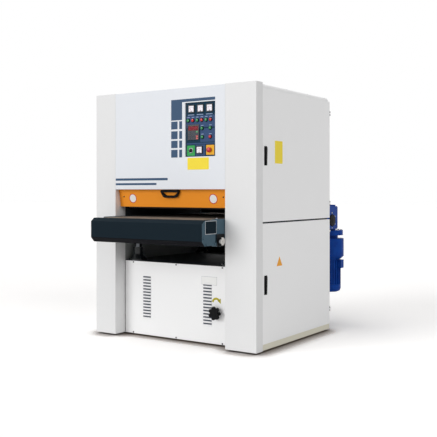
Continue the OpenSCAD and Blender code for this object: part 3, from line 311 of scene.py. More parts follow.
@dataclass(frozen=True)
class ShadeSplitPaint(Finish):
    """Brushed machine paint whose tone changes at a height; the darker of the two tones is
    painted shade on the side that lies in shade.
    """

    roughness: float = 0.55
    grain_mm: float = 3.5
    depth_mm: float = 0.05
    edge_mm: float = 2.0
    upper: str = "4a4e50"
    shade_line_z_mm: float = 560.0

    def dress(self, on: Canvas) -> None:
        """Soft brush grain, and the upper tone above the height, which paints the shaded side
        darker.
        """
        height = add_node(on.tree, "ShaderNodeSeparateXYZ", {0: on.place}).outputs["Z"]
        above = add_node(on.tree, "ShaderNodeMath", {0: height, 1: self.shade_line_z_mm * MM},
                         operation="GREATER_THAN").outputs[0]
        on.blend(above, self.base, srgb(self.upper))
        on.relief(self, on.noise(self.grain_mm, 3))


@dataclass(frozen=True)
class CastEnamel(Finish):
    """Thick enamel over a sand casting: soft grains under a gloss skin."""

    roughness: float = 0.32
    coat: Span = (0.02, 0.18)
    tone: float = 0.8
    tone_mm: float = 60.0
    grain_mm: float = 4.0
    depth_mm: float = 0.12
    edge_mm: float = 2.0
    worn: str = ""

    def dress(self, on: Canvas) -> None:
        """Sand grain in the surface, and rubbed places where a worn colour is given."""
        other = srgb(self.worn) if self.worn else tint(self.base, self.tone)
        patches = ramp(on.tree, on.noise(self.tone_mm, 4, 0.6), [(0.45, BLACK), (0.75, WHITE)])
        on.blend(patches, self.base, other)
        on.relief(self, on.noise(self.grain_mm, 3))


@dataclass(frozen=True)
class MouldedPlastic(Finish):
    """Moulded nylon or ABS with a spark-eroded grain, paler in handled places."""

    roughness: float = 0.48
    tone: float = 1.25
    grain_mm: float = 1.2
    layers: float = 1.0
    depth_mm: float = 0.02
    edge_mm: float = 0.8


@dataclass(frozen=True)
class GlossPlastic(Finish):
    """Polished polycarbonate of push buttons and housings, with faint flow lines."""

    roughness: float = 0.16
    coat: Span = (0.15, 0.08)
    tone: float = 0.88
    tone_mm: float = 9.0
    grain_mm: float = 6.0
    layers: float = 1.0
    depth_mm: float = 0.008
    edge_mm: float = 0.5


@dataclass(frozen=True)
class Film(Finish):
    """Cast vinyl film or printed foil, with the panel's peel showing through."""

    roughness: float = 0.38
    tone: float = 0.95
    tone_mm: float = 45.0
    grain_mm: float = 2.2
    depth_mm: float = 0.008


@dataclass(frozen=True)
class Rubber(Finish):
    """Moulded rubber with a fabric or diamond pattern pressed into it."""

    roughness: float = 0.78
    tone: float = 1.4
    tone_mm: float = 25.0
    grain_mm: float = 5.0
    depth_mm: float = 0.5
    dust: str = ""
    dust_mm: float = 90.0

    def dress(self, on: Canvas) -> None:
        """Crossed ribs at the grain's pitch, and wood dust where a dust colour is given."""
        ribs = []
        for turn in (45, -45):
            across = add_node(on.tree, "ShaderNodeMapping",
                              {"Vector": on.place, "Rotation": (0, 0, math.radians(turn))})
            ribs.append(on.wave(self.grain_mm, {"Vector": across.outputs[0]}))
        both = add_node(on.tree, "ShaderNodeMath", {0: ribs[0], 1: ribs[1]},
                        operation="MULTIPLY").outputs[0]
        if self.dust:
            powder = ramp(on.tree, on.noise(self.dust_mm, 5, 0.65),
                          [(0.38, BLACK), (0.72, WHITE)])
            on.blend(powder, self.base, srgb(self.dust))
        else:
            on.clouds(self, 3)
        on.relief(self, both)


@dataclass(frozen=True)
class AbrasiveCloth(Finish):
    """Aluminium oxide grit bonded to a cloth belt."""

    roughness: float = 0.9
    grain_mm: float = 1.4
    depth_mm: float = 0.25
    pale: str = "b5764c"

    def dress(self, on: Canvas) -> None:
        """Grains of brown and pale grit, drawn coarser than they are so that they show."""
        cells = add_node(on.tree, "ShaderNodeTexVoronoi",
                         {"Vector": on.place, "Scale": 1 / (self.grain_mm * MM)})
        tones = ramp(on.tree, cells.outputs["Color"],
                     [(0.2, tint(self.base, 0.55)), (0.6, self.base),
                      (0.95, srgb(self.pale))])
        on.tree.links.new(tones, on.shader.inputs["Base Color"])
        on.relief(self, cells.outputs["Distance"])


@dataclass(frozen=True)
class BrushedSteel(Finish):
    """Cold-rolled steel, ground or brushed in one direction and left bright."""

    roughness: float = 0.34
    metallic: float = 1.0
    tone: float = 0.72
    grain_mm: float = 1.6
    depth_mm: float = 0.015
    edge_mm: float = 0.8
    stretch: Point = (0.02, 1.0, 1.0)

    def dress(self, on: Canvas) -> None:
        """Long fine scratches that spread the highlights."""
        drawn = add_node(on.tree, "ShaderNodeMapping",
                         {"Vector": on.place, "Scale": self.stretch})
        lines = on.noise(self.grain_mm, 4, 0.7, drawn.outputs[0])
        on.blend(lines, self.base, tint(self.base, self.tone))
        on.relief(self, lines)


@dataclass(frozen=True)
class TurnedMetal(Finish):
    """Turned or cast metal, machined bright: rings of tool marks round the X axis."""

    roughness: float = 0.3
    metallic: float = 1.0
    tone: float = 0.78
    tone_mm: float = 50.0
    grain_mm: float = 1.5
    depth_mm: float = 0.012

    def dress(self, on: Canvas) -> None:
        """Tool marks along the axis, with stains of oil."""
        marks = on.wave(self.grain_mm, {"Vector": on.place, "Distortion": 1.5, "Detail": 2.0})
        on.clouds(self, 3)
        on.relief(self, marks)


@dataclass(frozen=True)
class Chrome(Finish):
    """Hard chrome, ground and polished."""

    roughness: float = 0.1
    metallic: float = 1.0
    tone: float = 0.9
    tone_mm: float = 40.0

    def dress(self, on: Canvas) -> None:
        """Mirror gloss with a trace of oil film."""
        on.clouds(self, 3)


@dataclass(frozen=True)
class BlackOxide(Finish):
    """Blackened steel of screws, bolts and hinges."""

    roughness: float = 0.4
    metallic: float = 0.6
    tone_mm: float = 4.0
    brown: str = "3a3632"

    def dress(self, on: Canvas) -> None:
        """Dull black metal with brown hints."""
        on.blend(on.noise(self.tone_mm), self.base, srgb(self.brown))


# Columns: warm off-white, satin, so that soft light runs down the bent edges.
COLUMN_COAT = PowderCoat("powder coat, off-white", "e6e6e6", shine=0.3)
# Doors and covers: the same coat, in a whiter copy that paints light on the side doors and
# covers, which the light reaches less.
COVER_COAT = PowderCoat("powder coat, door white", "f8f8f8", shine=0.3)
# Upper panel: white with a cool, bluish cast.
PANEL_COAT = PowderCoat("powder coat, cool white", "e5e8ed", shine=0.3)
# Lower panel: the same off-white in its whitest copy, which paints light on the panel set back
# in the shade under the table.
LOWER_COAT = PowderCoat("powder coat, warm white", "fcfcfc", shine=0.3)
# Infeed flap: a strong, clear orange that keeps its colour in the light.
ORANGE_COAT = PowderCoat("powder coat, orange", "ff9e2c", roughness=0.4, tone=0.96,
                         shine=0.12)
# Feed table and head beams: greyish blue that turns dark in the shade.
TABLE_COAT = PowderCoat("powder coat, slate blue", "445b68", tone=0.9, shine=0.12)
# Nameplate's field: nearly black, with only a breath of blue.
GUARD_COAT = PowderCoat("powder coat, blue-black", "16222a", roughness=0.5, tone=0.9,
                        shine=0.03)
# Front guard: the same blue-black, with painted shade: a darker tone on the lower fold below
# 850 mm, where the fold lies in the shade.
GUARD_SHEET_PAINTED_SHADE = ShadeSplitPaint("powder coat, guard sheet", "0c0d12", upper="16222a",
                         shade_line_z_mm=850, roughness=0.5, shine=0.03)
# Plinth and deck: pale greenish grey that takes dust, with painted shade: dark above 560 mm,
# inside the cabinet.
FRAME_ENAMEL = ShadeSplitPaint("machine enamel, plinth and deck", "e2decd", upper="2e3336",
                          shine=0.2)
# Side plates: plain workshop grey below, with painted shade: dark above 810 mm, inside the
# cabinet.
SIDE_ENAMEL = ShadeSplitPaint("machine enamel, side plates", "8d9190", upper="33393c",
                         shade_line_z_mm=810, shine=0.2)
# Feed drive and motors: deep gear-drive blue with rubbed, darker patches.
DRIVE_ENAMEL = CastEnamel("casting enamel, blue", "0b3f94", worn="08307c", roughness=0.42,
                          shine=0.07)
# Ram housings: almost black casting with soft grains.
IRON_ENAMEL = CastEnamel("casting enamel, black-grey", "1a1e21", roughness=0.27, shine=0.4)
# Feet: bare dark iron with brown stains.
FOOT_IRON = CastEnamel("cast iron, bare", "46484a", roughness=0.7, worn="5b4a3c", shine=0.2)
# Take-up disc: pale, blasted steel that hardly mirrors.
WHITE_STEEL = CastEnamel("steel, blasted pale", "d9d6d2", roughness=0.55, worn="c4c0ba",
                         shine=0.3, slot="bright_steel")
# Handles, latches and handwheel: grained black that only glints at its edges.
BLACK_NYLON = MouldedPlastic("nylon, moulded black", "0b0b0d", shine=0.08,
                             slot="black_plastic")
# Instrument housings: glossy charcoal.
DARK_ABS = GlossPlastic("ABS, gloss charcoal", "14161a", shine=0.2, slot="instrument_black")
# Control plate: dull teal behind the foils.
CONTROL_COAT = PowderCoat("powder coat, control teal", "1f3c50", tone=0.93, shine=0.03)
# Start buttons: clear-looking green with a small highlight.
GREEN_CAP = GlossPlastic("polycarbonate, green", "1f8a4a", shine=0.3, slot="button_green")
# Stop buttons: clear-looking red with a small highlight.
RED_CAP = GlossPlastic("polycarbonate, red", "c6262e", shine=0.3, slot="button_red")
# Bed under the belt: ground grey steel with long scratches.
BED_STEEL = BrushedSteel("steel, ground", "96989a")
# Anodised plates and rings: pale satin aluminium.
SILVER_PLATE = BrushedSteel("aluminium, anodised plate", "c4c8cc", roughness=0.36,
                            slot="bright_steel")
# Rivets and flange bolts: pale zinc.
SCREW_ZINC = BrushedSteel("steel, zinc plated screw", "a9acb0", stretch=(1, 1, 1),
                          slot="bright_steel")
# Hinges: blackened steel that reads as dark blocks at the doors' rear edges.
HINGE_STEEL = BlackOxide("steel, blackened hinge", "1c1e20", roughness=0.5, shine=0.2)
# Screws and bolts: black with a brown hint.
SCREW_BLACK = BlackOxide("steel, black oxide", "101012", shine=0.2, slot="black_plastic")
# Feed belt: grey-brown rubber, dusted, whose diamonds are drawn twice their real size.
BELT_RUBBER = Rubber("feed belt rubber, diamond pattern", "6a6259", grain_mm=9,
                     dust="8a7f72", shine=0.15)
# Contact drums: matt black rubber with crossed grooves.
DRUM_RUBBER = Rubber("contact drum rubber, black", "2a2a2c", grain_mm=12, depth_mm=0.8,
                     shine=0.2)
# V-belts: dull black cloth cover.
VEE_RUBBER = Rubber("V-belt rubber, cloth covered", "1a1a1c", grain_mm=3, depth_mm=0.1)
# Outfeed curtain and door seals: flat black that swallows the light.
CURTAIN_RUBBER = Rubber("dust curtain rubber, black", "0c0c0e", grain_mm=4, depth_mm=0.1,
                        shine=0.1, slot="black_plastic")
# Gauze of the louvres: dark grey wire, its mesh drawn coarser than it is; the dark strips also
# paint the shade inside the louvre slots.
GAUZE_AND_SLOT_SHADE = Rubber("louvre gauze, dark wire", "4a4e58", grain_mm=3, depth_mm=0.4, shine=0.15,
               slot="instrument_black")
# Sanding belts: red-brown grit that sparkles a little.
GRIT = AbrasiveCloth("sanding belt, aluminium oxide", "6a4028", shine=0.1)
# Rollers: bright turned aluminium with rings of tool marks.
ROLLER_ALU = TurnedMetal("aluminium, turned", "8e9093", roughness=0.4)
# Pulleys: darker machined iron.
PULLEY_IRON = TurnedMetal("cast iron, machined", "585a5c", roughness=0.42)
# Rams: dark, oily mirror.
RAM_CHROME = Chrome("steel ram, oiled dark chrome", "55585c", roughness=0.16)
# Panel graphics: flat slate blue.
SLATE_FILM = Film("vinyl film, slate blue", "455c78", shine=0.06)
# Blank notice plates: clear yellow.
YELLOW_FILM = Film("vinyl film, yellow", "fae13c", shine=0.2)
# Blank plate of the lower door: amber.
AMBER_FILM = Film("vinyl film, amber", "f2a62c", shine=0.2)
# Discs and plates: white with a soft sheen.
WHITE_FILM = Film("vinyl film, white", "f8f8f6", shine=0.3)
# Disc rings and meter needles: plain red.
RED_FILM = Film("vinyl film, red", "d2343a", shine=0.2)
# Thin rule round the white plate: light grey.
RULE_FILM = Film("printed foil, light grey rule", "b9bbbf", shine=0.2)
# Turning arrow: olive yellow.
ARROW_FILM = Film("vinyl film, olive yellow", "b8ac2c", shine=0.2)
# Scale marks and slots: printed black.
INK_FILM = Film("printed foil, black", "121316", shine=0.12)
# Legend plates: pale blue, blank.
PALE_FILM = Film("printed foil, pale blue", "93a6c8", shine=0.15)
# Fields that group the buttons: steel blue.
GROUP_FILM = Film("printed foil, steel blue", "3c5379", shine=0.06)
# Selector plate: bright green.
GREEN_PLATE = Film("printed foil, green", "28a04c", roughness=0.3, shine=0.2)
# Stop plate: golden yellow.
AMBER_PLATE = Film("printed foil, golden yellow", "f5b21c", roughness=0.3, shine=0.2)
# Meter faces: white with a faint violet tone behind clear glass.
METER_FACE = Film("printed foil, meter white", "f6f2fa", roughness=0.25, shine=0.3)
# Digit window: dark red filter foil.
DIGIT_RED = Film("display foil, dark red", "74101f", roughness=0.2, shine=0.1,
                 slot="instrument_black")
# Lit segments: brighter red.
DIGIT_LIT = Film("display foil, lit red", "c23348", roughness=0.2, shine=0.15,
                 slot="instrument_black")
# Keys: mid grey foil.
KEY_GREY = Film("keypad foil, grey", "474b57", shine=0.12, slot="instrument_black")

NODE_FINISHES: dict[Finish, str] = {
    FRAME_ENAMEL: "base_frame", SIDE_ENAMEL: "side_frames",
    COLUMN_COAT: "front_column_left front_column_right",
    COVER_COAT: "roof_cover rear_cover_upper rear_cover_lower cover_left_lower "
                "door_right_upper door_right_lower door_left_upper",
    PANEL_COAT: "front_panel_upper", LOWER_COAT: "front_panel_lower",
    HINGE_STEEL: "hinge_brackets", FOOT_IRON: "levelling_feet",
    BLACK_NYLON: "latch_right_upper latch_right_lower latch_left_upper flap_handle "
                 "tension_handwheel",
    CONTROL_COAT: "control_plate", DARK_ABS: "panel_instruments selector_knob",
    GREEN_CAP: "button_1 button_3 button_5 button_7 button_8 button_9",
    RED_CAP: "button_2 button_4 button_6 button_10 stop_button",
    ORANGE_COAT: "feed_flap", GUARD_SHEET_PAINTED_SHADE: "front_guard", TABLE_COAT: "table_frame head_beams",
    BED_STEEL: "bed_plate", BELT_RUBBER: "conveyor_belt",
    ROLLER_ALU: "drive_roller idler_roller pressure_roller_front pressure_roller_rear "
                "tension_roller_1 tension_roller_2 tension_roller_3",
    DRIVE_ENAMEL: "feed_gearbox feed_motor main_motors",
    RAM_CHROME: "lift_screws", IRON_ENAMEL: "lift_columns",
    GRIT: "sanding_belts", VEE_RUBBER: "v_belts",
    DRUM_RUBBER: "contact_drum_1 contact_drum_2 contact_drum_3",
    PULLEY_IRON: "motor_pulley_1 motor_pulley_2 motor_pulley_3",
}


def dress_nodes() -> None:
    """Give every CAD node its material."""
    for finish, names in NODE_FINISHES.items():
        for name in names.split():
            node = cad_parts[name]
            node.data.materials.clear()
            node.data.materials.append(finish.material())
            LOG.info("node %s: %s", name, finish.name)


# --------------------------------------------------------------------------- modelling

# Edges flatter than these, in degrees, are shaded smooth.
EASED_SMOOTH = 40
TURNED_SMOOTH = 35
# Eased edges narrower than this, in millimetres, get one face across.
FINE_EASE = 0.6
# The faces round each corner of a plate.
CORNER_FACES = 5


def clear_selection() -> None:
    """Leave edit mode and deselect everything."""
    if bpy.context.object and bpy.context.object.mode != "OBJECT":
        bpy.ops.object.mode_set(mode="OBJECT")
    bpy.ops.object.select_all(action="DESELECT")


def take(piece: Piece) -> None:
    """Select one piece alone and make it active."""
    clear_selection()
    piece.select_set(True)
    bpy.context.view_layer.objects.active = piece


def settle(piece: Piece) -> Piece:
    """Put a piece's place into its mesh, so that its object sits at the origin."""
    take(piece)
    bpy.ops.object.transform_apply(location=True, rotation=True, scale=True)
    return piece


def edit(action: str = "SELECT") -> None:
    """Enter edit mode and select everything, or deselect it."""
    bpy.ops.object.mode_set(mode="EDIT")
    bpy.ops.mesh.select_all(action=action)


def finish_edit() -> None:
    """Turn all faces outwards and leave edit mode."""
    bpy.ops.mesh.select_all(action="SELECT")
    bpy.ops.mesh.normals_make_consistent(inside=False)
    bpy.ops.object.mode_set(mode="OBJECT")


def ease_edges(piece: Piece, width_mm: float, segments: int = 2) -> Piece:
    """Round a piece's sharp edges with an applied bevel.

    Args:
        piece: the piece.
        width_mm: the rounding's width.
        segments: the faces across it.

    Returns:
        The piece.
    """
    take(piece)
    bevel = piece.modifiers.new("eased edges", "BEVEL")
    bevel.width = width_mm * MM
    bevel.segments = segments
    bevel.limit_method = "ANGLE"
    bevel.angle_limit = math.radians(50)
    bpy.ops.object.modifier_apply(modifier=bevel.name)
    bpy.ops.object.shade_smooth_by_angle(angle=math.radians(EASED_SMOOTH))
    return piece


def slab(name: str, low: Point, high: Point, round_mm: float = 0.0, ease_mm: float = 0.3,
         flat_axis: Axis = Axis.Y) -> Piece:
    """Model a plate or bar between two corners, with rounded corners and eased edges.

    Args:
        name: the piece's name.
        low: its lowest corner on the front datum, in millimetres.
        high: its highest corner.
        round_mm: the radius of the corners seen along the flat axis.
        ease_mm: the width of the eased edges.
        flat_axis: the axis that the plate's thin side lies along.

    Returns:
        The piece.
    """
    clear_selection()
    middle = at(*[(a + b) / 2 for a, b in zip(low, high)])
    bpy.ops.mesh.primitive_cube_add(size=1, location=middle)
    piece = bpy.context.object
    piece.name = name
    piece.scale = [(b - a) * MM for a, b in zip(low, high)]
    settle(piece)
    if round_mm:
        edit("DESELECT")
        bpy.ops.mesh.select_mode(type="EDGE")
        bpy.ops.object.mode_set(mode="OBJECT")
        points = piece.data.vertices
        for edge in piece.data.edges:
            along = points[edge.vertices[1]].co - points[edge.vertices[0]].co
            edge.select = abs(along[flat_axis.value]) > 0.99 * along.length
        bpy.ops.object.mode_set(mode="EDIT")
        bpy.ops.mesh.bevel(offset=round_mm * MM, segments=CORNER_FACES, affect="EDGES")
        bpy.ops.object.mode_set(mode="OBJECT")
    if ease_mm:
        ease_edges(piece, ease_mm, 1 if ease_mm < FINE_EASE else 2)
    return piece


def turned(name: str, place: Point, axis: Axis, profile: Profile, segments: int) -> Piece:
    """Turn a profile round an axis; one that ends where it starts makes a ring.

    Args:
        name: the piece's name.
        place: the axis's start on the front datum, in millimetres.
        axis: the axis's direction.
        profile: (radius, distance along) pairs in millimetres.
        segments: the number of faces round it.

    Returns:
        The piece.
    """
    clear_selection()
    closed = profile[0] == profile[-1]
    radius, start = profile[0]
    bpy.ops.mesh.primitive_circle_add(vertices=segments, radius=radius * MM,
                                      fill_type="NOTHING" if closed else "NGON",
                                      location=(0, 0, start * MM))
    piece = bpy.context.object
    piece.name = name
    edit()
    for (r_a, z_a), (r_b, z_b) in zip(profile, profile[1:]):
        bpy.ops.mesh.extrude_region_move(
            TRANSFORM_OT_translate={"value": (0, 0, (z_b - z_a) * MM)})
        share = r_b / r_a
        bpy.ops.transform.resize(value=(share, share, 1), center_override=(0, 0, 0))
    if closed:
        bpy.ops.mesh.select_all(action="SELECT")
        bpy.ops.mesh.remove_doubles(threshold=1e-6)
    finish_edit()
    settle(piece)
    quarter = math.pi / 2
    piece.rotation_euler = ((0, quarter, 0), (-quarter, 0, 0), (0, 0, 0))[axis.value]
    piece.location = at(*place)
    settle(piece)
    bpy.ops.object.shade_smooth_by_angle(angle=math.radians(TURNED_SMOOTH))
    return piece


def outline_plate(name: str, points: Sequence[Span], plane: Axis, start: float,
                  depth: float, ease_mm: float = 0.0) -> Piece:
    """Cut a plate of any outline and give it a thickness.

    Args:
        name: the piece's name.
        points: the outline, as (x, z) on a Y plane or (y, z) on an X plane.
        plane: the axis that the plate faces along.
        start: where its back lies on that axis.
        depth: how far it reaches from there, with its sign.
        ease_mm: the width of the eased edges, or 0 for none.

    Returns:
        The piece.
    """
    clear_selection()
    bpy.ops.mesh.primitive_circle_add(vertices=len(points), radius=1, fill_type="NGON")
    piece = bpy.context.object
    piece.name = name
    for vertex, (a, z) in zip(piece.data.vertices, points):
        vertex.co = at(start, a, z) if plane is Axis.X else at(a, start, z)
    edit()
    move = (depth * MM, 0, 0) if plane is Axis.X else (0, depth * MM, 0)
    bpy.ops.mesh.extrude_region_move(TRANSFORM_OT_translate={"value": move})
    finish_edit()
    return ease_edges(piece, ease_mm, 1) if ease_mm else piece


def cut_away(piece: Piece, tool: Piece) -> None:
    """Subtract a tool from a piece and delete the tool.

    Args:
        piece: the piece.
        tool: the closed form to take away.
    """
    take(piece)
    cutter = piece.modifiers.new("cut", "BOOLEAN")
    cutter.operation = "DIFFERENCE"
    cutter.object = tool
    cutter.solver = "EXACT"
    bpy.ops.object.modifier_apply(modifier=cutter.name)
    bpy.data.objects.remove(tool, do_unlink=True)


def joined(name: str, parts: Sequence[Piece]) -> Piece:
    """Join several pieces of one finish into one.

    Args:
        name: the joined piece's name.
        parts: the pieces.

    Returns:
        The joined piece.
    """
    clear_selection()
    for part in parts:
        part.select_set(True)
    bpy.context.view_layer.objects.active = parts[0]
    if len(parts) > 1:
        bpy.ops.object.join()
    parts[0].name = name
    return parts[0]


def copies(name: str, model: Piece, moves: Sequence[Point]) -> Piece:
    """Copy a model to each place with its own mesh, join the copies and drop the model.

    Args:
        name: the joined piece's name.
        model: the piece to copy, modelled at its own place.
        moves: how far each copy moves, in millimetres.

    Returns:
        The joined piece.
    """
    made = []
    for move in moves:
        take(model)
        bpy.ops.object.duplicate(linked=False)
        twin = bpy.context.object
        twin.location = Vector(move) * MM
        made.append(settle(twin))
    bpy.data.objects.remove(model, do_unlink=True)
    return joined(name, made)


def tilt(piece: Piece, degrees: float, centre: Vector, about: str = "X") -> Piece:
    """Turn a piece about a centre and settle it.

    Args:
        piece: the piece.
        degrees: how far it turns.
        centre: the point that stays where it is, in metres.
        about: the axis that it turns about.

    Returns:
        The piece.
    """
    turn = Matrix.Rotation(math.radians(degrees), 4, about)
    piece.matrix_world = Matrix.Translation(centre) @ turn @ Matrix.Translation(-centre)
    return settle(piece)


def aimed(piece: Piece, facing: Facing) -> Piece:
    """Turn a fastener that looks up so that it looks out of a side."""
    about, degrees = facing.value
    return tilt(piece, degrees, at(0, 0, 0), about)


def screw(name: str, facing: Facing, radius: float, height: float,
          socket: bool = True) -> Piece:
    """Model a button-head screw with a hexagon socket, its seat at the datum's origin.

    Args:
        name: the piece's name.
        facing: where the head looks.
        radius: the head's radius in millimetres.
        height: the head's height.
        socket: True for a hexagon socket.

    Returns:
        The screw's head.
    """
    shell = [(radius, 0), (radius, height * 0.25), (radius * 0.86, height * 0.7),
             (radius * 0.6, height * 0.95), (radius * 0.45, height)]
    piece = turned(name, (0, 0, 0), Axis.Z, shell, 20)
    if socket:
        cut_away(piece, turned("socket tool", (0, 0, height * 0.45), Axis.Z,
                               [(radius * 0.33, 0), (radius * 0.33, height)], 6))
    return aimed(piece, facing)


def hex_bolt(name: str, facing: Facing, across: float, height: float) -> Piece:
    """Model a hexagon bolt on its washer, its seat at the datum's origin.

    Args:
        name: the piece's name.
        facing: where the head looks.
        across: the head's width across its flats, in millimetres.
        height: the height of head and washer.

    Returns:
        The bolt's head and washer.
    """
    washer = turned(name + " washer", (0, 0, 0), Axis.Z,
                    [(across * 0.72, 0), (across * 0.72, 1.2), (across * 0.66, 1.6)], 20)
    head = turned(name, (0, 0, 1.5), Axis.Z,
                  [(across * 0.577, 0), (across * 0.577, height - 1.0),
                   (across * 0.5, height - 0.2), (across * 0.3, height)], 6)
    return aimed(joined(name, [head, washer]), facing)


@dataclass
class SubAssembly:
    """Pieces that ride on one part of the machine."""

    body: str = "cabinet"
    slot: str = "column_paint"

    def keep(self, piece: Piece, finish: Finish, body: str = "", slot: str = "") -> None:
        """Dress a finished piece and let it ride.

        Args:
            piece: the piece.
            finish: its finish.
            body: the body it rides on, or the sub-assembly's own.
            slot: not used.
        """
        piece.name = piece.name.replace(" ", "_")
        piece.data.materials.clear()
        piece.data.materials.append(finish.material())
        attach(piece, body or self.body)
        LOG.info("%s: %s", type(self).__name__, piece.name)

    def build(self) -> None:
        """Build the sub-assembly's pieces."""
        raise NotImplementedError


@dataclass
class PanelGraphics(SubAssembly):
    """Colour blocks, stripes and a blank plate of the upper front panel."""

    slot: str = "panel_paint"
    film: float = 0.4
    block_x: Span = (7, 116)
    block_z: Span = (1784, 1948)
    bar: Span = (433, 1925)
    tile_columns: tuple[Span, ...] = ((7, 71), (87, 116))
    tile_rows: tuple[Span, ...] = ((1713, 1775), (1635, 1698), (1564, 1622), (1488, 1550))
    stripes: tuple = ((-583, -29, 1308, 1327), (-583, -144, 1270, 1287))
    plate: tuple = (169, 374, 1389, 1482)

    def flat(self, name: str, sides: tuple, radius: float, proud: float) -> Piece:
        """Cut one rectangle on the panel's face.

        Args:
            name: its name.
            sides: its left, right, lower and upper sides.
            radius: its corners' radius.
            proud: its thickness.

        Returns:
            The rectangle.
        """
        x0, x1, z0, z1 = sides
        return slab(name, (x0, -proud, z0), (x1, 0, z1), radius, min(0.15, proud / 3))

    def build(self) -> None:
        """Build the films and the plate."""
        (x0, x1), (z0, z1), (bar_x, bar_z) = self.block_x, self.block_z, self.bar
        corners = [(x0, z0), (x1, z0), (x1, bar_z), (bar_x, bar_z), (bar_x, z1), (x0, z1)]
        block = outline_plate("panel block film", corners, Axis.Y, 0, -self.film)
        self.keep(block, SLATE_FILM)
        tiles = [self.flat("tile", (*column, *row), 1.5, self.film)
                 for row in self.tile_rows for column in self.tile_columns]
        self.keep(joined("panel tile films", tiles), SLATE_FILM)
        bars = [self.flat("stripe", stripe, 1.5, self.film) for stripe in self.stripes]
        self.keep(joined("panel stripe films", bars), SLATE_FILM)
        self.keep(self.flat("blank yellow plate", self.plate, 5, 0.8), YELLOW_FILM)


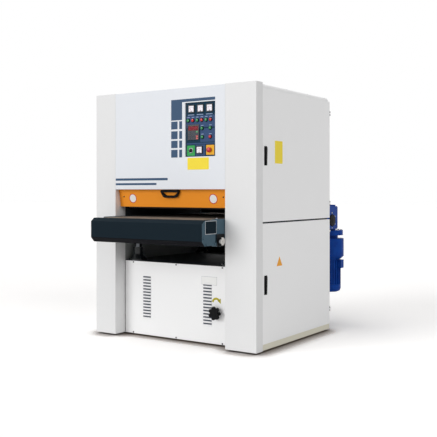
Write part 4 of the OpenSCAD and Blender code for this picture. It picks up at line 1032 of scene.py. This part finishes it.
@dataclass
class ControlDressing(SubAssembly):
    """Printed plates, meters, readout, bezels and caps in the control recess."""

    slot: str = "control_blue"
    corner: Span = (144, 1491)
    size: Span = (289, 426)
    face_y: float = 13
    buttons: tuple[Span, ...] = (
        (0.0855, 0.670), (0.2377, 0.670), (0.3865, 0.670), (0.5353, 0.670), (0.6806, 0.670),
        (0.826, 0.670), (0.5457, 0.517), (0.8156, 0.517), (0.556, 0.357), (0.8156, 0.357))
    green: tuple[int, ...] = (1, 3, 5, 7, 8, 9)
    cap_y: float = 4.0
    groups: tuple = (((150, 427), (1720, 1812)), ((284, 427), (1604, 1710)),
                     ((150, 427), (1588, 1598)), ((240, 330), (1497, 1584)))
    meters: tuple[Span, ...] = ((0.193, 0.884), (0.497, 0.884), (0.798, 0.884),
                                (0.461, 0.122))
    leans: tuple[float, ...] = (-0.55, -0.2, -0.4, 0.1)
    readout: Span = (0.262, 0.450)
    segments: tuple = ((0, 0, 9, 1.8), (0, 9.1, 9, 10.9), (0, 18.2, 9, 20), (0, 0, 1.8, 10),
                       (7.2, 0, 9, 10), (0, 10, 1.8, 20), (7.2, 10, 9, 20))
    unlit: float = 0.25
    knob: Span = (0.172, 0.117)
    stop: Span = (0.788, 0.117)

    def place(self, shares: Span) -> Span:
        """Turn shares of the recess into a place on the plate."""
        return (self.corner[0] + self.size[0] * shares[0],
                self.corner[1] + self.size[1] * shares[1])

    def foil(self, name: str, x: Span, z: Span, proud: float, radius: float,
             ease: float) -> Piece:
        """Lay a thin plate on the recess's face.

        Args:
            name: its name.
            x: its left and right sides.
            z: its lower and upper sides.
            proud: its thickness.
            radius: its corners' radius.
            ease: the width of its eased edges.

        Returns:
            The plate.
        """
        y = self.face_y
        return slab(name, (x[0], y - proud, z[0]), (x[1], y, z[1]), radius, ease)

    def build_plates(self) -> None:
        """Coloured plates behind the knob and the stop, groups and legends."""
        x, z = self.place(self.knob)
        self.keep(self.foil("selector plate", (x - 38, x + 38), (z - 42, z + 39), 0.8, 2,
                            0.25), GREEN_PLATE)
        x, z = self.place(self.stop)
        self.keep(self.foil("stop plate", (x - 31, x + 44), (z - 38, z + 38), 0.8, 2, 0.25),
                  AMBER_PLATE)
        fields = [self.foil("group", x, z, 0.3, 2, 0) for x, z in self.groups]
        self.keep(joined("control group foils", fields), GROUP_FILM)
        tags = []
        for i, (x, z) in enumerate(map(self.place, self.buttons)):
            low = z + (21 if i < 6 else 19)
            tags.append(self.foil("tag", (x - 12, x + 12), (low, low + 6), 0.7, 1, 0.2))
        tags += [self.foil("tag", (x, x + 62), (1817, 1823), 0.7, 1, 0.2)
                 for x in (163, 250, 338)]
        self.keep(joined("legend plates", tags), PALE_FILM)

    def scale_mark(self, x: float, y: float, z: float, step: int) -> Piece:
        """Cut one stroke of a meter's scale.

        Args:
            x: the meter's middle.
            y: its face.
            z: its middle's height.
            step: the stroke's number; every fourth is longer.

        Returns:
            The stroke.
        """
        angle = math.radians(45 + step * 11.25)
        across, rise = math.cos(angle), math.sin(angle)
        (a, b), (c, d) = [(x - r * across * 1.15, z - 14 + r * rise)
                          for r in (23, 27 if step % 4 else 29)]
        u, v = rise * 0.55, across * 0.55
        quad = [(a - u, b - v), (a + u, b + v), (c + u, d + v), (c - u, d - v)]
        return outline_plate("mark", quad, Axis.Y, y, -0.25)

    def build_meters(self) -> None:
        """White meter faces with a scale, a needle and a lower cover."""
        faces, marks, covers, needles = [], [], [], []
        y = self.face_y - 6.8
        for shares, lean in zip(self.meters, self.leans):
            x, z = self.place(shares)
            faces.append(slab("face", (x - 23.5, y, z - 23.5), (x + 23.5, y + 0.8, z + 23.5),
                              2, 0.2))
            marks += [self.scale_mark(x, y, z, step) for step in range(9)]
            covers.append(slab("cover", (x - 5, y - 1.0, z - 23), (x + 5, y + 0.2, z - 17),
                               2, 0.3))
            tip = x + 30 * lean
            quad = [(x - 0.9, z - 15), (x + 0.9, z - 15), (tip + 0.4, z + 15),
                    (tip - 0.4, z + 15)]
            needles.append(outline_plate("needle", quad, Axis.Y, y - 0.5, -0.3))
        for name, parts, finish in (("faces", faces, METER_FACE), ("scales", marks, INK_FILM),
                                    ("covers", covers, DARK_ABS),
                                    ("needles", needles, RED_FILM)):
            self.keep(joined(f"meter {name}", parts), finish, slot="instrument_black")

    def build_readout(self) -> None:
        """Digit window with lit segments, and columns of keys below it."""
        x, z = self.place(self.readout)
        y, top = self.face_y - 6, z + 48
        window = slab("digit window", (x - 48, y - 0.4, top - 34), (x + 48, y + 3.8, top), 1.5,
                      0.2)
        self.keep(window, DIGIT_RED)
        strokes = []
        low = top - 27
        for digit in range(5):
            left = x - 38 + digit * 17
            for a, b, c, d in self.segments:
                if RNG.random() >= self.unlit:
                    strokes.append(slab("stroke", (left + a, y - 0.7, low + b),
                                        (left + c, y - 0.3, low + d), 0, 0))
        self.keep(joined("digit strokes", strokes), DIGIT_LIT)
        keys: dict[Finish, list[Piece]] = {KEY_GREY: [], GREEN_CAP: [], RED_CAP: []}
        for row in range(4):
            for column in range(4):
                a, b = x - 46 + column * 24, z - 55 + row * 17
                finish = KEY_GREY
                if column == 3 and row != 2:
                    finish = GREEN_CAP if row == 3 else RED_CAP
                keys[finish].append(slab("key", (a, y - 1.4, b), (a + 19, y + 0.2, b + 12),
                                         2, 0.3))
        names = ("readout keys", "readout start key", "readout stop keys")
        for name, (finish, parts) in zip(names, keys.items()):
            self.keep(joined(name, parts), finish)

    def build_controls(self) -> None:
        """Bezels round the buttons, and domed caps that move with them."""
        rings = []
        for i, (x, z) in enumerate(map(self.place, self.buttons), 1):
            rings.append(turned("bezel", (x, self.face_y, z), Axis.Y,
                                [(11.9, -4.4), (15.2, -4.4), (16.2, -3.4), (16.6, 0),
                                 (11.9, 0), (11.9, -4.4)], 28))
            cap = turned(f"button cap {i}", (x, self.cap_y, z), Axis.Y,
                         [(10.6, 0.3), (10.6, -0.6), (9.6, -1.5), (7.0, -2.1), (3.0, -2.4),
                          (0.4, -2.5)], 28)
            self.keep(cap, GREEN_CAP if i in self.green else RED_CAP, f"button_{i}")
        self.keep(joined("button bezels", rings), BLACK_NYLON)
        x, z = self.place(self.knob)
        mark = slab("knob mark", (x - 1.2, -4.9, z + 4), (x + 1.2, -4.2, z + 14), 0.4, 0.1)
        self.keep(mark, WHITE_FILM, "selector_knob", "black_plastic")
        ring = turned("selector ring", (x, self.face_y, z), Axis.Y,
                      [(17.2, -3.6), (19.5, -3.6), (20.5, -2.6), (20.5, 0), (17.2, 0),
                       (17.2, -3.6)], 32)
        self.keep(ring, SILVER_PLATE)
        x, z = self.place(self.stop)
        crown = turned("stop crown", (x, -7.4, z), Axis.Y,
                       [(15.2, 0.2), (14.6, -0.8), (11, -2.0), (6, -2.8), (0.5, -3.2)], 32)
        self.keep(crown, RED_CAP, "stop_button")

    def build(self) -> None:
        """Build all the control recess's pieces."""
        self.build_plates()
        self.build_meters()
        self.build_readout()
        self.build_controls()


@dataclass
class FlapDressing(SubAssembly):
    """Discs and screws of the tilted infeed flap."""

    body: str = "flap"
    slot: str = "flap_orange"
    middle_x: float = -30.5
    pivot: Span = (60, 1246)
    face: float = -17.25
    lean: float = 7.5
    disc_dx: float = 409
    disc_drop: float = 84.5
    disc_r: float = 39.5
    rim_w: float = 6.0
    screw_x: Span = (-535.5, 474.5)
    screw_drop: float = 70.5

    def lay(self, piece: Piece) -> Piece:
        """Tilt a piece with the flap."""
        return tilt(piece, self.lean, at(0, *self.pivot))

    def build(self) -> None:
        """Build the discs, their rings and the screws."""
        y, z, r = self.pivot[0] + self.face, self.pivot[1] - self.disc_drop, self.disc_r
        inner, rim = r - self.rim_w, r - self.rim_w - 0.2
        for side, name in ((-1, "left"), (1, "right")):
            place = (self.middle_x + side * self.disc_dx, y, z)
            disc = turned(f"flap disc {name}", place, Axis.Y, [(inner, 0), (inner, -0.5)], 48)
            self.keep(self.lay(disc), WHITE_FILM)
            ring = turned(f"flap disc ring {name}", place, Axis.Y,
                          [(rim, -0.6), (r - 0.4, -0.6), (r, -0.4), (r, 0), (rim, 0),
                           (rim, -0.6)], 48)
            self.keep(self.lay(ring), RED_FILM)
        model = screw("flap screw", Facing.FRONT, 6.5, 3.5)
        moves = [(x, y, self.pivot[1] - self.screw_drop) for x in self.screw_x]
        self.keep(self.lay(copies("flap screws", model, moves)), SCREW_BLACK)


@dataclass
class TableDressing(SubAssembly):
    """Blank plate, height lever, take-up disc and bolts of the feed table."""

    body: str = "table"
    slot: str = "table_paint"
    end_x: float = 519.5
    plate_y: Span = (-256, -108)
    plate_z: Span = (899, 1001)
    ring_y: float = -66
    disc_y: float = -34
    disc_z: float = 839
    rail_z: float = 1010.2

    def build(self) -> None:
        """Build the plate, the take-up, the height lever and the bolts."""
        self.build_plate()
        self.build_take_up()
        x, z = self.end_x, self.rail_z
        # A black film on the rail's top paints the shade inside the height slot.
        slot = slab("height slot painted shade", (x - 34, -92, z - 0.8), (x - 6, -24, z + 0.1), 13, 0.1,
                    Axis.Z)
        self.keep(slot, INK_FILM)
        lever = slab("height lever", (x - 26, -106, z), (x - 14, -66, z + 8.8), 5, 1.2, Axis.Z)
        self.keep(tilt(lever, 24, at(x - 20, -70, z), "Z"), SCREW_ZINC)
        model = hex_bolt("guard bolt", Facing.RIGHT, 13, 6)
        spots = [(x, -278, 868), (x, -244, 824), (x, -130, 824)]
        self.keep(copies("guard bolts", model, spots), TABLE_COAT)

    def build_plate(self) -> None:
        """Blank plate with its rim and rivets."""
        (y0, y1), (z0, z1) = self.plate_y, self.plate_z
        x = self.end_x
        rim = slab("blank plate rim", (x, y0, z0), (x + 1.0, y1, z1), 4, 0.2, Axis.X)
        self.keep(rim, SILVER_PLATE)
        field = slab("blank plate field", (x + 0.9, y0 + 5, z0 + 5),
                     (x + 1.5, y1 - 5, z1 - 5), 3, 0.15, Axis.X)
        self.keep(field, GUARD_COAT)
        model = screw("plate rivet", Facing.RIGHT, 2.6, 1.6, socket=False)
        spots = [(x + 0.8, y, z) for y in (y0 + 3.5, y1 - 3.5) for z in (z0 + 3.5, z1 - 3.5)]
        self.keep(copies("plate rivets", model, spots), SCREW_ZINC)

    def build_take_up(self) -> None:
        """Painted shade of a recess, a black film on the end plate, with the belt's take-up:
        ring, screw end and disc.
        """
        x = self.end_x
        shade = slab("take-up recess painted shade", (x, -104, 801), (x + 0.5, -3, 897), 10, 0, Axis.X)
        self.keep(shade, INK_FILM)
        place = (x + 0.4, self.ring_y, self.disc_z)
        ring = turned("take-up ring", place, Axis.X,
                      [(17, 0), (29, 0), (29, 6), (27, 8), (19, 8), (17, 6), (17, 0)], 36)
        self.keep(ring, BLACK_NYLON)
        core = turned("take-up screw end", place, Axis.X,
                      [(14, 0), (14, 3), (12, 4.5), (5, 4.5), (4, 3.6), (0.5, 3.6)], 30)
        self.keep(core, SCREW_ZINC)
        disc = turned("take-up disc", (x + 0.4, self.disc_y, self.disc_z), Axis.X,
                      [(29.5, 0), (30.5, 1), (30.5, 6), (28, 8), (8, 8.4), (7, 7.4),
                       (0.5, 7.4)], 40)
        self.keep(disc, WHITE_STEEL)


@dataclass
class LowerPanelDressing(SubAssembly):
    """Screws, blank plate, louvre gauze with painted slot shade and turning arrow of the lower
    front panel.
    """

    slot: str = "lower_panel_paint"
    face_y: float = 122
    rear_y: float = 1252
    screw_x: tuple[float, ...] = (-491, -36.5, 418)
    screw_z: Span = (619, 24)
    plate_x: Span = (219, 367)
    plate_z: Span = (477, 543)
    arrow: Span = (360, 340)
    louvre_x: Span = (-343, 276)
    louvre_z0: float = 150
    louvre_pitch: float = 25.5
    louvre_h: float = 12
    louvre_count: int = 14

    def build(self) -> None:
        """Build the panel's pieces."""
        y, (x0, x1), (z0, z1) = self.face_y, self.plate_x, self.plate_z
        model = screw("panel screw", Facing.FRONT, 6.5, 3.5)
        spots = [(x, y, z) for x in self.screw_x for z in self.screw_z]
        self.keep(copies("lower panel screws", model, spots), SCREW_BLACK)
        rule = slab("blank plate rule", (x0, y - 0.8, z0), (x1, y, z1), 4, 0.2)
        self.keep(rule, RULE_FILM)
        plate = slab("blank white plate", (x0 + 2, y - 1.2, z0 + 2),
                     (x1 - 2, y - 0.6, z1 - 2), 3, 0.2)
        self.keep(plate, WHITE_FILM)
        self.build_gauze()
        # A black strip at the lower panel's left edge paints the shade in the seam against the
        # left column.
        edge = slab("panel edge seam shade strip", (-584.5, y - 1.2, 17), (-580.5, y + 0.2, 628), 0, 0.3)
        self.keep(edge, CURTAIN_RUBBER)
        self.build_arrow()

    def build_gauze(self) -> None:
        """Dark strips of gauze laid on the front and rear panel faces at the louvres, which
        paint the shade in the slots as well.
        """
        for name, y in (("louvre gauze and slot shade strips", self.face_y - 0.5),
                        ("rear louvre gauze and slot shade strips", self.rear_y - 0.1)):
            strips = []
            for x in self.louvre_x:
                for i in range(self.louvre_count):
                    low = self.louvre_z0 + i * self.louvre_pitch + self.louvre_h + 0.6
                    strips.append(slab("gauze", (x - 41, y, low), (x + 41, y + 0.6,
                                                                   low + 11.5), 2, 0))
            self.keep(joined(name, strips), GAUZE_AND_SLOT_SHADE)

    def build_arrow(self) -> None:
        """Bent arrow that shows which way the handwheel turns."""
        x, z = self.arrow
        band = [(x + r * math.cos(math.radians(a)), z + r * math.sin(math.radians(a)))
                for r, angles in ((42, range(172, 34, -12)), (25, range(40, 173, 12)))
                for a in angles]
        head = [(x + 13, z + 16), (x + 43, z - 4), (x + 43, z + 38)]
        parts = [outline_plate("arrow", points, Axis.Y, self.face_y, -0.5)
                 for points in (band, head)]
        self.keep(joined("turning arrow film", parts), ARROW_FILM)


@dataclass
class DoorDressing(SubAssembly):
    """Latch plate, edge seal and blank plates of one door."""

    slot: str = "cover_paint"
    name: str = "upper"
    side: int = 1
    face_x: float = 800
    latch_y: float = 141
    latch_z: float = 1488
    latch_half: Span = (22, 73)
    plate: Optional[tuple] = None
    sign: Optional[tuple] = None
    sheet: float = 3.0
    hinge_y: float = 1236
    seal_w: float = 6.0
    seal_x: Span = (774.6, 784)

    def skin(self, proud: float) -> list[float]:
        """Give the lower and higher X of something that lies on the door's face."""
        return sorted((self.face_x * self.side, (self.face_x + proud) * self.side))

    def build(self) -> None:
        """Build the door's pieces."""
        (a, b), (half, rise) = self.skin(1.2), self.latch_half
        y, z = self.latch_y, self.latch_z
        rim = slab(f"{self.name} latch plate", (a, y - half, z - rise),
                   (b, y + half, z + rise), 4, 0.3, Axis.X)
        self.keep(rim, BLACK_NYLON)
        self.build_seal()
        if self.plate:
            (a, b), (y0, y1, z0, z1) = self.skin(0.8), self.plate
            card = slab(f"{self.name} blank yellow plate", (a, y0, z0), (b, y1, z1), 4, 0.2,
                        Axis.X)
            self.keep(card, YELLOW_FILM)
        if self.sign:
            y, z, half, rise = self.sign
            sheet = outline_plate(f"{self.name} blank amber plate",
                                  [(y - half, z), (y + half, z), (y, z + rise)], Axis.X,
                                  self.face_x * self.side, self.side * 0.8, 0.2)
            self.keep(sheet, AMBER_FILM)

    def build_seal(self) -> None:
        """Edge seal inside the door's folded rim, seen when the door is open."""
        low, high = [Vector(corner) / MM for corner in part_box(self.body)]
        y0, y1 = low.y - FRONT_Y + self.sheet, self.hinge_y
        z0, z1 = low.z + self.sheet, high.z - self.sheet
        w, x = self.seal_w, sorted(edge * self.side for edge in self.seal_x)
        sides = [(y0, z0, y0 + w, z1), (y1 - w, z0, y1, z1), (y0, z0, y1, z0 + w),
                 (y0, z1 - w, y1, z1)]
        strips = [slab("seal", (x[0], a, b), (x[1], c, d), 0, 0.8) for a, b, c, d in sides]
        self.keep(joined(f"{self.name} door seal", strips), CURTAIN_RUBBER)


@dataclass
class Fasteners(SubAssembly):
    """Screws of the rear covers and the roof."""

    rear_upper_y: float = 1252
    rear_lower_y: float = 1257
    roof_z: float = 2032

    def build(self) -> None:
        """Build the rows of screws."""
        upper, lower, roof = self.rear_upper_y, self.rear_lower_y, self.roof_z
        rows = (("rear upper screws", Facing.BACK,
                 [(x, upper, z) for x in (-735, -250, 250, 735) for z in (645, 1300, 1990)]),
                ("rear lower screws", Facing.BACK,
                 [(x, lower, z) for x in (-735, 0, 735) for z in (35, 610)]),
                ("roof screws", Facing.UP,
                 [(x, y, roof) for x in (-770, 770) for y in (160, 520, 880, 1200)]))
        for name, facing, spots in rows:
            self.keep(copies(name, screw("screw", facing, 5.5, 3), spots), SCREW_BLACK)


@dataclass
class RearClosures(SubAssembly):
    """Apron and dust curtain that close the rear round the feed table."""

    slot: str = "cover_paint"
    x: Span = (-584, 523)
    apron_y: Span = (1246, 1249)
    apron_z: Span = (626, 742)
    strip_w: float = 48
    strip_t: float = 2.0
    strip_step: float = 2.2
    curtain_y: float = 1238
    curtain_z: Span = (1010, 1092)

    def build(self) -> None:
        """Build the apron with its folded top, and the curtain's strips."""
        (x0, x1), (y0, y1), (z0, z1) = self.x, self.apron_y, self.apron_z
        sheet = slab("apron", (x0, y0, z0), (x1, y1, z1), 0, 0.8)
        fold = slab("fold", (x0, y0 - 14, z1 - 3), (x1, y0 + 0.5, z1), 0, 0.8)
        # The apron lies wholly above 560 mm, so it takes the enamel's painted shade and is
        # dark all over.
        self.keep(joined("rear apron", [sheet, fold]), FRAME_ENAMEL, slot="frame_paint")
        strips = []
        low, high = self.curtain_z
        count = int((x1 - x0) / self.strip_w)
        pitch = (x1 - x0) / count
        for i in range(count):
            left, y = x0 + i * pitch, self.curtain_y + (i % 2) * self.strip_step
            strips.append(slab("strip", (left, y, low),
                               (left + pitch + 2, y + self.strip_t, high), 0, 0.4))
        curtain = joined("outfeed dust curtain", strips)
        self.keep(curtain, CURTAIN_RUBBER, slot="v_belt_rubber")
        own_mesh(curtain)


@dataclass
class DriveDressing(SubAssembly):
    """Flange bolts and output cap of the feed drive."""

    body: str = "table"
    slot: str = "drive_blue"
    flange: Point = (670, 1521, 865)
    flange_r: float = 100
    flange_bolts: int = 8
    cap: Point = (740, 1411, 957.6)
    cap_bolts: int = 6
    cap_bolt_r: float = 68

    def ring(self, radius: float, count: int) -> list[Span]:
        """Places round a centre, the first of them half a step in."""
        turns = [math.tau * (i + 0.5) / count for i in range(count)]
        return [(radius * math.cos(turn), radius * math.sin(turn)) for turn in turns]

    def build(self) -> None:
        """Build the bolts and the cap."""
        x, y, z = self.flange
        spots = [(x + a, y + b, z) for a, b in self.ring(self.flange_r, self.flange_bolts)]
        model = hex_bolt("flange bolt", Facing.UP, 13, 7)
        self.keep(copies("drive flange bolts", model, spots), SCREW_ZINC)
        x, y, z = self.cap
        wall = turned("cap wall", (x, y, z), Axis.X,
                      [(47, 0), (54, 0), (54, 7.2), (47, 7.2), (47, 0)], 44)
        lid = turned("cap lid", (x + 7, y, z), Axis.X,
                     [(54, 0), (54, 2), (51, 4.5), (22, 6), (20, 8), (0.6, 8.5)], 44)
        self.keep(joined("drive output cap", [wall, lid]), BLACK_NYLON)
        spots = [(x, y + a, z + b) for a, b in self.ring(self.cap_bolt_r, self.cap_bolts)]
        model = hex_bolt("cap bolt", Facing.RIGHT, 10, 5)
        self.keep(copies("drive cap bolts", model, spots), SCREW_ZINC)


@dataclass
class Studio:
    """Camera, floor and light."""

    place: Point = (3.7327, -5.4936, 1.2204)
    heading: float = 34.13
    lens: float = 62.6
    shift: float = -0.0626
    floor_size: float = 120.0
    painted_shadow_mm: float = 150.0
    sky: float = 0.32
    lamp_distance: float = 6.0
    lamps: tuple = (("key", 0.40, (-0.42, -0.85, 0.30), 34),
                    ("fill", 0.20, (0.88, -0.35, 0.42), 40),
                    ("top", 0.29, (-0.1, -0.25, 1.0), 45))

    def build(self) -> None:
        """Build the camera, the floor and the light."""
        self.build_camera()
        self.build_floor()
        self.build_light()

    def build_camera(self) -> None:
        """Set the photograph's view."""
        data = bpy.data.cameras.new("view")
        data.lens = self.lens
        data.sensor_width = 36.0
        data.shift_y = self.shift
        data.clip_end = 200
        camera = bpy.data.objects.new("view", data)
        camera.location = self.place
        camera.rotation_euler = (math.pi / 2, 0, math.radians(self.heading))
        bpy.context.scene.collection.objects.link(camera)
        bpy.context.scene.camera = camera

    def seen(self, tree: Tree) -> Socket:
        """Tell the rays by which a background is seen from those that light the object.

        Args:
            tree: the node tree.

        Returns:
            One for a ray from the camera, a reflection or glass.
        """
        path = add_node(tree, "ShaderNodeLightPath").outputs
        first = add_node(tree, "ShaderNodeMath",
                         {0: path["Is Camera Ray"], 1: path["Is Glossy Ray"]},
                         operation="MAXIMUM")
        return add_node(tree, "ShaderNodeMath",
                        {0: first.outputs[0], 1: path["Is Transmission Ray"]},
                        operation="MAXIMUM").outputs[0]

    def build_floor(self) -> None:
        """Lay a pale matt floor that keeps the shadow, with a painted contact shadow from
        ambient occlusion where things stand.
        """
        clear_selection()
        bpy.ops.mesh.primitive_plane_add(size=self.floor_size, location=(0, 0, -0.0005))
        floor = bpy.context.object
        floor.name = "studio_floor"
        material = bpy.data.materials.new("studio floor, matt paper")
        tree = empty_tree(material)
        bounced = add_node(tree, "ShaderNodeBsdfDiffuse", {"Color": (0.86, 0.85, 0.845, 1)})
        # Painted contact shadow: the viewed floor turns dark brown where ambient occlusion
        # finds things close by.
        near = add_node(tree, "ShaderNodeAmbientOcclusion", {"Distance": self.painted_shadow_mm * MM},
                        samples=8)
        contact = ramp(tree, near.outputs["AO"],
                       [(0.3, (0.22, 0.18, 0.16, 1)), (0.72, (0.55, 0.51, 0.49, 1)),
                        (0.96, (1.3, 1.28, 1.265, 1))])
        viewed = add_node(tree, "ShaderNodeBsdfDiffuse", {"Color": contact})
        both = add_node(tree, "ShaderNodeMixShader",
                        {0: self.seen(tree), 1: bounced.outputs[0], 2: viewed.outputs[0]})
        add_node(tree, "ShaderNodeOutputMaterial", {"Surface": both.outputs[0]})
        floor.data.materials.append(material)

    def build_light(self) -> None:
        """White round about, with broad soft suns in front, on the right and above."""
        world = bpy.data.worlds.new("studio")
        bpy.context.scene.world = world
        tree = empty_tree(world)
        soft = add_node(tree, "ShaderNodeBackground",
                        {"Color": (0.98, 0.99, 1, 1), "Strength": self.sky})
        white = add_node(tree, "ShaderNodeBackground", {"Color": WHITE, "Strength": 1.0})
        mix = add_node(tree, "ShaderNodeMixShader",
                       {0: self.seen(tree), 1: soft.outputs[0], 2: white.outputs[0]})
        add_node(tree, "ShaderNodeOutputWorld", {"Surface": mix.outputs[0]})
        for name, level, toward, spread in self.lamps:
            lamp = bpy.data.lights.new(name, "SUN")
            lamp.energy = level * math.pi
            lamp.angle = math.radians(spread)
            sun = bpy.data.objects.new(name, lamp)
            away = Vector(toward).normalized()
            sun.location = Vector((0, 0, 1)) + away * self.lamp_distance
            sun.rotation_euler = away.to_track_quat("Z", "Y").to_euler()
            bpy.context.scene.collection.objects.link(sun)
        bpy.context.scene.view_settings.view_transform = "Standard"


def sub_assemblies() -> list[SubAssembly]:
    """List the sub-assemblies in the order they are built."""
    upper_plate = (281, 401, 1435, 1611)
    return [
        PanelGraphics(),
        ControlDressing(),
        FlapDressing(),
        TableDressing(),
        LowerPanelDressing(),
        DoorDressing(body="door_right_upper", name="right upper", plate=upper_plate),
        DoorDressing(body="door_right_lower", name="right lower", latch_z=508,
                     sign=(352, 638, 44, 74)),
        DoorDressing(body="door_left_upper", name="left upper", side=-1, plate=upper_plate),
        Fasteners(),
        RearClosures(),
        DriveDressing(),
    ]


def main() -> None:
    """Build the studio, dress the nodes and build every sub-assembly."""
    logging.basicConfig(level=logging.INFO, format="%(name)s %(message)s")
    Studio().build()
    dress_nodes()
    for group in sub_assemblies():
        group.build()


if __name__ == "__main__":
    main()
